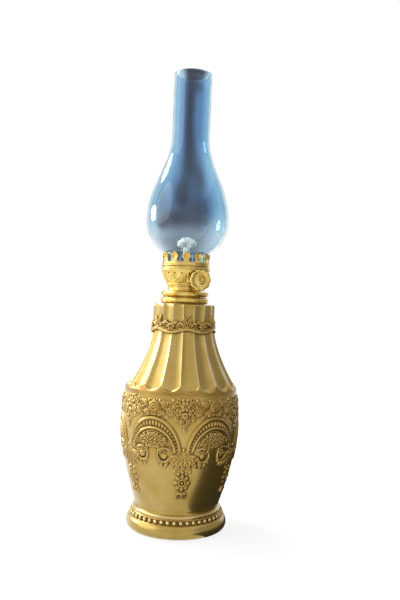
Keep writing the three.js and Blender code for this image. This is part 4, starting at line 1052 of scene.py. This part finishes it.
def dull_brass(c):
    """Unlacquered brass inside the burner: satin, browned by heat and oil in small blotches."""
    made, tree, shader = finish("Heat-dulled brass")
    if tree is None:
        return made
    place = add(tree, "ShaderNodeTexCoord").outputs["Object"]
    # blotches of about 3 mm
    blotch = add(tree, "ShaderNodeTexNoise", {"Vector": place, "Scale": 330, "Detail": 5}).outputs["Fac"]
    tint = add(tree, "ShaderNodeValToRGB", {"Fac": blotch}, [
        (0.3, c.gold_shade), (0.6, c.old_brass)]).outputs["Color"]
    rough = add(tree, "ShaderNodeMapRange", {"Value": blotch, "To Min": 0.55, "To Max": 0.32}).outputs[0]
    bump = add(tree, "ShaderNodeBump", {"Height": blotch, "Strength": 0.2, "Distance": 0.0001}).outputs[0]
    link(tree, {"Base Color": tint, "Roughness": rough, "Normal": bump}, shader)
    shader.inputs["Metallic"].default_value = 1
    return made


def drawn_steel(c):
    """Cold-drawn steel: grey, satin, with lines along the bar."""
    made, tree, shader = finish("Drawn steel")
    if tree is None:
        return made
    place = add(tree, "ShaderNodeTexCoord").outputs["Object"]
    # drawing lines about 0.25 mm wide, stretched 20 times along Y, coarser than real ones so that they show
    stretch = add(tree, "ShaderNodeMapping", {"Vector": place, "Scale": (1, 0.05, 1)}).outputs[0]
    lines = add(tree, "ShaderNodeTexNoise", {"Vector": stretch, "Scale": 4000, "Detail": 2}).outputs["Fac"]
    dark = [0.6 * v for v in c.steel]
    tint = add(tree, "ShaderNodeValToRGB", {"Fac": lines}, [(0.25, dark), (0.7, c.steel)]).outputs["Color"]
    bump = add(tree, "ShaderNodeBump", {"Height": lines, "Strength": 0.2, "Distance": 0.00005}).outputs[0]
    link(tree, {"Base Color": tint, "Normal": bump}, shader)
    shader.inputs["Metallic"].default_value = 1
    shader.inputs["Roughness"].default_value = 0.36
    return made


def woven_cotton(c):
    """Loose-woven cotton: matt off-white with a soft sheen, darker between its threads, and painted darker in
    the tuft's creases, as shade.
    """
    made, tree, shader = finish("Woven cotton")
    if tree is None:
        return made
    place = add(tree, "ShaderNodeTexCoord").outputs["Object"]
    wear = add(tree, "ShaderNodeAttribute", attribute_name="wear").outputs["Fac"]
    # threads 1.6 mm apart, up and across, about twice as coarse as real ones so that they show
    threads = {"Vector": place, "Scale": 200, "Distortion": 1.5, "Detail": 2, "Detail Scale": 3}
    warp = add(tree, "ShaderNodeTexWave", threads, wave_type="BANDS", bands_direction="Y").outputs["Fac"]
    weft = add(tree, "ShaderNodeTexWave", threads, wave_type="BANDS", bands_direction="Z").outputs["Fac"]
    cloth = add(tree, "ShaderNodeMath", {0: warp, 1: weft}, operation="MAXIMUM").outputs[0]
    # the attribute paints shade into the tuft's creases
    level = add(tree, "ShaderNodeMath", {0: cloth, 1: wear}, operation="MAXIMUM").outputs[0]
    tint = add(tree, "ShaderNodeValToRGB", {"Fac": level}, [
        (0.1, c.cotton_shade), (0.75, c.cotton)]).outputs["Color"]
    bump = add(tree, "ShaderNodeBump", {"Height": cloth, "Strength": 0.5, "Distance": 0.0002}).outputs[0]
    link(tree, {"Base Color": tint, "Normal": bump}, shader)
    shader.inputs["Roughness"].default_value = 0.95
    shader.inputs["Sheen Weight"].default_value = 0.3
    return made


def set_plaster(c):
    """Set plaster: chalky, matt and pitted."""
    made, tree, shader = finish("Set plaster")
    if tree is None:
        return made
    place = add(tree, "ShaderNodeTexCoord").outputs["Object"]
    # pits of about 0.8 mm
    pits = add(tree, "ShaderNodeTexNoise", {"Vector": place, "Scale": 1200, "Detail": 4}).outputs["Fac"]
    dark = [0.7 * v for v in c.plaster]
    tint = add(tree, "ShaderNodeValToRGB", {"Fac": pits}, [(0.3, dark), (0.6, c.plaster)]).outputs["Color"]
    bump = add(tree, "ShaderNodeBump", {"Height": pits, "Strength": 0.4, "Distance": 0.0002}).outputs[0]
    link(tree, {"Base Color": tint, "Normal": bump}, shader)
    shader.inputs["Roughness"].default_value = 0.9
    return made


def blown_glass(c):
    """Blown soda glass, tinted blue by the angle it is seen at: deep straight on, as painted shade, paler
    towards its edges, as painted reflection, with a darker outline, and nearly clear low in the bulb, where
    it is blown thin.

    It has a faint ripple of blowing. Rays from lamps pass straight through, so that the wick inside is lit.
    """
    made, tree, shader = finish("Blown blue glass")
    if tree is None:
        return made
    place = add(tree, "ShaderNodeTexCoord").outputs["Object"]
    facing = add(tree, "ShaderNodeLayerWeight", {"Blend": 0.42}).outputs["Facing"]
    up = add(tree, "ShaderNodeSeparateXYZ", {0: place}).outputs["Z"]
    # heights in metres over which the bulb turns thin, and over which its foot turns thick again
    thin = add(tree, "ShaderNodeMapRange", {
        "Value": up, "From Min": 0.238, "From Max": 0.214, "To Min": 0, "To Max": 1}).outputs[0]
    foot = add(tree, "ShaderNodeMapRange", {
        "Value": up, "From Min": 0.201, "From Max": 0.207, "To Min": 0.4, "To Max": 1}).outputs[0]
    blown = add(tree, "ShaderNodeMath", {0: thin, 1: foot}, operation="MULTIPLY").outputs[0]
    # soft ripples about 17 mm long
    ripple = add(tree, "ShaderNodeTexNoise", {"Vector": place, "Scale": 60, "Detail": 2}).outputs["Fac"]
    # tint by the angle the glass is seen at: deeper straight on as painted shade, paler towards the edges as
    # painted reflection, darker at the outline
    thick = add(tree, "ShaderNodeValToRGB", {"Fac": facing}, [
        (0.03, c.glass_facing_shade), (0.9, c.glass_rim), (0.36, c.glass_edge_reflection), (0.68, c.glass_edge_reflection),
    ]).outputs["Color"]
    inside = add(tree, "ShaderNodeMapRange", {
        "Value": facing, "From Min": 0.55, "From Max": 0.85, "To Min": 0.9, "To Max": 0.1}).outputs[0]
    pale = add(tree, "ShaderNodeMath", {0: blown, 1: inside}, operation="MULTIPLY").outputs[0]
    tint = add(tree, "ShaderNodeMix", {0: pale, 6: thick, 7: (*c.glass_thin, 1)}, data_type="RGBA").outputs[2]
    bump = add(tree, "ShaderNodeBump", {"Height": ripple, "Strength": 0.12, "Distance": 0.002}).outputs[0]
    link(tree, {"Base Color": tint, "Normal": bump}, shader)
    shader.inputs["Transmission Weight"].default_value = 1
    shader.inputs["Roughness"].default_value = 0.02
    shader.inputs["IOR"].default_value = 1.5
    clear = add(tree, "ShaderNodeBsdfTransparent", {"Color": (0.97, 0.985, 1, 1)}).outputs[0]
    ray = add(tree, "ShaderNodeLightPath").outputs["Is Shadow Ray"]
    mix = add(tree, "ShaderNodeMixShader", {0: ray, 1: shader.outputs[0], 2: clear}).outputs[0]
    tree.links.new(mix, tree.nodes["Material Output"].inputs["Surface"])
    return made


def seen_rays(tree):
    """1 for the rays of the camera, of mirrors and through glass, 0 for the rest."""
    ray = add(tree, "ShaderNodeLightPath").outputs
    plain = add(tree, "ShaderNodeMath", {
        0: ray["Is Camera Ray"], 1: ray["Is Glossy Ray"]}, operation="MAXIMUM").outputs[0]
    return add(tree, "ShaderNodeMath", {
        0: plain, 1: ray["Is Transmission Ray"]}, operation="MAXIMUM").outputs[0]


def pale_paper(c):
    """Pale studio paper: it shows white to the camera, in mirrors and through glass, and a little darker
    near the lamp."""
    made, tree, shader = finish("Pale paper")
    if tree is None:
        return made
    place = add(tree, "ShaderNodeTexCoord").outputs["Object"]
    far = add(tree, "ShaderNodeVectorMath", {0: place}, operation="LENGTH").outputs["Value"]
    # distances in metres from the lamp's foot
    lift = add(tree, "ShaderNodeMapRange", {
        "Value": far, "From Min": 0.06, "From Max": 0.3, "To Min": 0.8, "To Max": 1.0}).outputs[0]
    glow = add(tree, "ShaderNodeMath", {0: seen_rays(tree), 1: lift}, operation="MULTIPLY").outputs[0]
    link(tree, {"Emission Strength": glow}, shader)
    shader.inputs["Base Color"].default_value = (*[0.3 * v for v in c.floor], 1)
    shader.inputs["Roughness"].default_value = 0.9
    shader.inputs["Specular IOR Level"].default_value = 0
    shader.inputs["Emission Color"].default_value = (1, 1, 1, 1)
    return made


def painted_reflection_card(name, level):
    """A glowing card of an even brightness that only mirrors show: a painted reflection."""
    made, tree, shader = finish(name)
    if tree is None:
        return made
    shader.inputs["Base Color"].default_value = (0, 0, 0, 1)
    shader.inputs["Specular IOR Level"].default_value = 0
    shader.inputs["Emission Color"].default_value = (1, 0.95, 0.9, 1)
    shader.inputs["Emission Strength"].default_value = level
    return made


def painted_shade_sheet():
    """A dark sheet of painted shade, seen only through glass, as dense as its mesh's shade attribute says."""
    made, tree, _ = finish("Dark gauze")
    if tree is None:
        return made
    density = add(tree, "ShaderNodeAttribute", attribute_name="shade").outputs["Fac"]
    clear = add(tree, "ShaderNodeBsdfTransparent").outputs[0]
    dark = add(tree, "ShaderNodeEmission", {"Color": (0.02, 0.024, 0.035, 1), "Strength": 1}).outputs[0]
    mix = add(tree, "ShaderNodeMixShader", {0: density, 1: clear, 2: dark}).outputs[0]
    tree.links.new(mix, tree.nodes["Material Output"].inputs["Surface"])
    return made


# Operators

class LampOperator:
    """What the lamp's operators share."""

    bl_options = {"REGISTER", "UNDO"}

    def sizes(self, context):
        """The scene's sizes of the lamp, in millimetres."""
        return in_millimetres(context.scene.lamp_sizes)

    def colours(self, context):
        """The scene's colours of the lamp."""
        group = context.scene.lamp_colours
        return SimpleNamespace(**{n: tuple(getattr(group, n)) for n in group.__annotations__})


class LAMP_OT_vase(LampOperator, bpy.types.Operator):
    """Makes the vase: its foot with the bead row, the ornamented belly, and the fluted shoulder and neck."""

    bl_idname = "lamp.vase"
    bl_label = "Vase"

    def execute(self, context):
        s, paint = self.sizes(context), gold_bronze_paint(self.colours(context))
        low, high = vase_belly(s)
        build("vase_foot", vase_foot(s), paint, "reservoir", "gold_body", "reservoir_body", sharp=50)
        build("vase_beads", foot_beads(s), paint, "reservoir", "gold_body", "reservoir_body")
        build("vase_belly_low", low, paint, "reservoir", "gold_body", "reservoir_body", sharp=65)
        build("vase_belly_high", high, paint, "reservoir", "gold_body", "reservoir_body", sharp=65)
        build("vase_shoulder", vase_shoulder(s), paint, "reservoir", "gold_body", "reservoir_body", sharp=50)
        return {"FINISHED"}


class LAMP_OT_collar(LampOperator, bpy.types.Operator):
    """Makes the neck's collar and the burner's screw cap."""

    bl_idname = "lamp.collar"
    bl_label = "Collar and screw cap"

    def execute(self, context):
        brass = polished_brass(self.colours(context))
        build("collar_ring", neck_collar(), brass, "reservoir", "brass", "neck_collar")
        build("cap_shell", screw_cap(), brass, "screw_cap", "brass", "burner_base")
        return {"FINISHED"}


class LAMP_OT_bowl(LampOperator, bpy.types.Operator):
    """Makes the burner's stamped bowl and pierces it."""

    bl_idname = "lamp.bowl"
    bl_label = "Bowl"

    def execute(self, context):
        brass = polished_brass(self.colours(context))
        bowl = build("bowl_shell", burner_bowl(), brass, "burner", "brass", "burner_bowl")
        drill = build("bowl_drill", bowl_drills(), brass, "burner", "brass")
        pierce = bowl.modifiers.new("Pierce", "BOOLEAN")
        pierce.object, pierce.operation, pierce.solver = drill, "DIFFERENCE", "EXACT"
        context.view_layer.update()
        pierced = bpy.data.meshes.new_from_object(bowl.evaluated_get(context.evaluated_depsgraph_get()))
        bowl.modifiers.clear()
        bowl.data = pierced
        bowl.data.set_sharp_from_angle(angle=np.radians(SHARP))
        bpy.data.objects.remove(drill)
        return {"FINISHED"}


class LAMP_OT_crown(LampOperator, bpy.types.Operator):
    """Makes the crown that grips the chimney: a band and its prongs."""

    bl_idname = "lamp.crown"
    bl_label = "Crown"

    def execute(self, context):
        s, brass = self.sizes(context), polished_brass(self.colours(context))
        build("crown_prongs", joined(crown_band(s), prongs(s)), brass, "burner", "brass", "chimney_crown")
        return {"FINISHED"}


class LAMP_OT_knob(LampOperator, bpy.types.Operator):
    """Makes the wick knob, its shaft and the sleeve that guides it."""

    bl_idname = "lamp.knob"
    bl_label = "Knob"

    def execute(self, context):
        s, c = self.sizes(context), self.colours(context)
        build("knob_rosette", knob(s), polished_brass(c), "wick_drive", "brass", "knob")
        build("shaft_rod", wick_shaft(), polished_brass(c), "wick_drive", "brass", "wick_shaft")
        build("sleeve_tube", shaft_sleeve(), polished_brass(c), "burner", "brass", "shaft_sleeve")
        return {"FINISHED"}


class LAMP_OT_wick(LampOperator, bpy.types.Operator):
    """Makes the wick: its woven tape and its frayed tuft."""

    bl_idname = "lamp.wick"
    bl_label = "Wick"

    def execute(self, context):
        cotton = woven_cotton(self.colours(context))
        build("wick_tape", wick_tape(), cotton, "wick", "cotton", "wick", sharp=80)
        build("wick_tuft", wick_tuft(), cotton, "wick", "cotton", "wick", sharp=80)
        return {"FINISHED"}


class LAMP_OT_chimney(LampOperator, bpy.types.Operator):
    """Makes the glass chimney."""

    bl_idname = "lamp.chimney"
    bl_label = "Chimney"

    def execute(self, context):
        glass = blown_glass(self.colours(context))
        build("chimney_glass", chimney(self.sizes(context)), glass, "chimney", "blue_glass", "chimney")
        return {"FINISHED"}


class LAMP_OT_inside(LampOperator, bpy.types.Operator):
    """Gives the pieces inside the burner and neck, whose CAD shape is right, their finishes."""

    bl_idname = "lamp.inside"
    bl_label = "Inside pieces"

    def execute(self, context):
        c = self.colours(context)
        finishes = {
            "collar_plaster": set_plaster(c),
            "air_plate": dull_brass(c),
            "wick_tube": dull_brass(c),
            "wheel_box": dull_brass(c),
            "feed_wheel_front": drawn_steel(c),
            "feed_wheel_rear": drawn_steel(c),
        }
        for name, material in finishes.items():
            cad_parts[name].material_slots[0].material = material
        return {"FINISHED"}


class LAMP_OT_stage(LampOperator, bpy.types.Operator):
    """Makes the floor, the cards, the light and the camera."""

    bl_idname = "lamp.stage"
    bl_label = "Stage"

    # the camera's bearing in degrees, and its distance from the lamp's axis and height in metres
    BEARING, DISTANCE, HEIGHT = -108, 0.507, 0.1689
    # the photograph's length, its focal length and the axis's offset from its middle in pixels, and the
    # lamp's lean in degrees
    FRAME, FOCAL, OFFSET, LEAN = 600, 676, -15.5, 2.3
    # height in metres that the soft boxes aim at
    AIM = 0.16

    # blots of painted shade on the dark sheet behind the chimney, as they look at the axis: across and up
    # from the lamp's foot, reach across and up, all in millimetres, and darkness
    SHADE_BLOTS = [(-2.5, 312, 6, 62, 0.95), (3.8, 332, 10.5, 8.5, 0.97), (0.5, 272, 7, 20, 0.93),
             (8.5, 260, 6, 15, 0.8), (-5.5, 247, 8, 13, 0.95), (-9, 229, 16, 9, 0.97), (9, 234, 11, 16, 0.9),
             (-21, 225, 6, 5, 0.85), (-6, 211, 26, 11, 0.8), (-9, 205, 7, 5, 0.85), (-26, 240, 6, 16, 0.5)]

    def put(self, context, name, points, faces, material, *unseen):
        """Puts a stage piece into the scene, hidden from the named kinds of ray."""
        mesh = bpy.data.meshes.new(name)
        mesh.from_pydata(points.tolist(), [], faces)
        mesh.materials.append(material)
        thing = bpy.data.objects.new(name, mesh)
        context.scene.collection.objects.link(thing)
        for ray in unseen:
            setattr(thing, f"visible_{ray}", False)
        return thing

    def floor(self, context):
        """A wide disc of paper, a little under the lamp's foot."""
        level = -0.0002
        disc = turned([[r, level] for r in (3.0, 1.0, 0.4)], 96, high=[0, 0, level])
        faces = [f for group in disc.faces for f in group.tolist()]
        self.put(context, "floor", disc.points, faces, pale_paper(self.colours(context)))

    def place(self, near, right, up):
        """Points towards the camera, to its right and up from the lamp's foot, in the lamp's own axes."""
        cos, sin = np.cos(np.radians(self.BEARING)), np.sin(np.radians(self.BEARING))
        return np.stack([near * cos - right * sin, near * sin + right * cos, up], -1)

    def facing(self, right, up, back, place):
        """The matrix of a soft box or camera with those axes at that place."""
        return Matrix([[right[i], up[i], back[i], place[i]] for i in range(3)] + [[0, 0, 0, 1]])

    def card(self, context, name, level, corners):
        """A flat glowing card that only metal and glass mirror: a painted reflection."""
        points = self.place(*np.array(corners).T)
        self.put(context, name, points, [list(range(len(points)))], painted_reflection_card(name, level),
                 "camera", "shadow", "diffuse", "transmission")

    def gauze(self, context):
        """A dark sheet behind the chimney that only shows through glass, as painted shade there: bell-shaped
        blots, one over another."""
        # it hangs this far behind the axis, where it has to be 1.2 times as large to look the same
        back, spread = 0.1, 1.2
        columns, rows = 61, 116
        right, up = np.meshgrid(np.linspace(-0.05, 0.05, columns), np.linspace(0.18, 0.41, rows))
        level = self.HEIGHT / MM
        x, z = right / spread / MM, level + (up / MM - level) / spread
        shade = np.zeros(x.shape)
        for across, height, wide, tall, dark in self.SHADE_BLOTS:
            bell = np.exp(-(((x - across) / wide) ** 2 + ((z - height) / tall) ** 2) ** 1.4)
            shade = 1 - (1 - shade) * (1 - dark * bell)
        points = self.place(np.full(x.size, -back), right.ravel(), up.ravel())
        start = (np.arange(rows - 1)[:, None] * columns + np.arange(columns - 1)).ravel()
        faces = np.stack([start, start + 1, start + columns + 1, start + columns], -1).tolist()
        thing = self.put(
            context, "gauze", points, faces, painted_shade_sheet(), "camera", "shadow", "diffuse", "glossy")
        density = thing.data.attributes.new("shade", "FLOAT", "POINT").data
        density.foreach_set("value", shade.ravel().astype(np.float32))

    def lamp(self, context, name, bearing, distance, height, width, tall, power, tint, through=False):
        """A soft box at a bearing from the lamp, aimed at its middle. It is seen through glass if through is
        true."""
        data = bpy.data.lights.new(name, "AREA")
        data.shape, data.size, data.size_y, data.energy = "ELLIPSE", width, tall, power
        data.color = tint
        box = bpy.data.objects.new(name, data)
        box.visible_transmission = through
        context.scene.collection.objects.link(box)
        angle = np.radians(bearing)
        place = np.array([distance * np.cos(angle), distance * np.sin(angle), height])
        back = place - [0, 0, self.AIM]
        back /= np.linalg.norm(back)
        right = np.cross([0, 0, 1], back)
        right /= np.linalg.norm(right)
        box.matrix_world = self.facing(right, np.cross(back, right), back, place)

    def world(self, context):
        """White where it is seen, mirrored or looked through, and a plain grey fill for everything else."""
        world = bpy.data.worlds.new("Studio")
        world.use_nodes = True
        context.scene.world = world
        tree = world.node_tree
        level = add(tree, "ShaderNodeMapRange", {
            "Value": seen_rays(tree), "To Min": 0.5, "To Max": 1.0}).outputs[0]
        back = tree.nodes["Background"]
        back.inputs["Color"].default_value = (1, 1, 1, 1)
        tree.links.new(level, back.inputs["Strength"])

    def camera(self, context):
        """A level camera, turned a little so that the lamp stands left of the middle, and rolled by the
        lamp's lean."""
        data = bpy.data.cameras.new("Camera")
        data.lens = self.FOCAL / self.FRAME * data.sensor_width
        view = bpy.data.objects.new("Camera", data)
        context.scene.collection.objects.link(view)
        bearing, lean = np.radians(self.BEARING), np.radians(self.LEAN)
        aside = np.arctan2(-self.OFFSET, self.FOCAL)
        out = np.array([np.cos(bearing), np.sin(bearing), 0])
        right = np.array([-np.sin(bearing), np.cos(bearing), 0])
        ahead = -out * np.cos(aside) + right * np.sin(aside)
        right = out * np.sin(aside) + right * np.cos(aside)
        up = np.array([0, 0, 1])
        right, up = right * np.cos(lean) + up * np.sin(lean), up * np.cos(lean) - right * np.sin(lean)
        place = out * self.DISTANCE + [0, 0, self.HEIGHT]
        view.matrix_world = self.facing(right, up, -ahead, place)
        context.scene.camera = view

    def execute(self, context):
        context.scene.view_settings.view_transform = "Standard"
        self.floor(context)
        # painted reflections, as glowing cards: brightness, and corners towards the camera, to its right and
        # up, in metres
        low = 0.0004
        # the lamp's own shadow on the floor, painted as a black card that only the metal mirrors
        self.card(context, "black_card_floor", 0.02, [
            (0.05, 0.02, low), (0.17, 0.235, low), (0.3, 0.5, low), (-0.4, 0.5, low), (-0.4, 0.05, low)])
        self.card(context, "grey_card_right", 0.45, [
            (0.6, 0.6, 0), (-0.5, 0.6, 0), (-0.5, 0.6, 0.7), (0.6, 0.6, 0.7)])
        self.card(context, "grey_card_camera", 0.92, [
            (0.8, -0.6, 0), (0.8, 0.8, 0), (0.8, 0.8, 0.9), (0.8, -0.6, 0.9)])
        self.gauze(context)
        self.world(context)
        # soft boxes: bearing in degrees, distance, height, width and length in metres, power in watts, tint
        self.lamp(context, "key", self.BEARING - 75, 0.9, 0.5, 0.9, 0.9, 3.1, (1, 0.98, 0.95))
        self.lamp(context, "kicker", self.BEARING - 112, 0.8, 0.36, 0.3, 0.2, 3.2, (1, 0.99, 0.97), True)
        self.lamp(context, "fill", self.BEARING + 20, 1.3, 0.75, 1.2, 0.8, 1.7, (1, 0.99, 0.97))
        self.lamp(context, "window", self.BEARING - 128, 0.6, 0.85, 0.5, 0.5, 6.0, (1, 0.99, 0.97))
        self.camera(context)
        return {"FINISHED"}


class LAMP_PT_panel(bpy.types.Panel):
    """The lamp's pieces, in the order they are made."""

    bl_label = "Kerosene table lamp"
    bl_idname = "LAMP_PT_panel"
    bl_space_type = "VIEW_3D"
    bl_region_type = "UI"
    bl_category = "Lamp"

    def draw(self, context):
        for group in (context.scene.lamp_sizes, context.scene.lamp_colours):
            box = self.layout.box()
            for name in group.__annotations__:
                box.prop(group, name)
        for operator in OPERATORS:
            self.layout.operator(operator.bl_idname)


OPERATORS = [LAMP_OT_vase, LAMP_OT_collar, LAMP_OT_bowl, LAMP_OT_crown, LAMP_OT_knob, LAMP_OT_wick,
             LAMP_OT_chimney, LAMP_OT_inside, LAMP_OT_stage]
CLASSES = [LampSizes, LampColours, *OPERATORS, LAMP_PT_panel]


def register():
    for cls in CLASSES:
        bpy.utils.register_class(cls)
    bpy.types.Scene.lamp_sizes = PointerProperty(type=LampSizes)
    bpy.types.Scene.lamp_colours = PointerProperty(type=LampColours)


def unregister():
    del bpy.types.Scene.lamp_colours
    del bpy.types.Scene.lamp_sizes
    for cls in reversed(CLASSES):
        bpy.utils.unregister_class(cls)


def main():
    """Makes the whole lamp and its stage."""
    register()
    bpy.ops.lamp.vase()
    bpy.ops.lamp.collar()
    bpy.ops.lamp.bowl()
    bpy.ops.lamp.crown()
    bpy.ops.lamp.knob()
    bpy.ops.lamp.wick()
    bpy.ops.lamp.chimney()
    bpy.ops.lamp.inside()
    bpy.ops.lamp.stage()


if __name__ == "__main__":
    main()
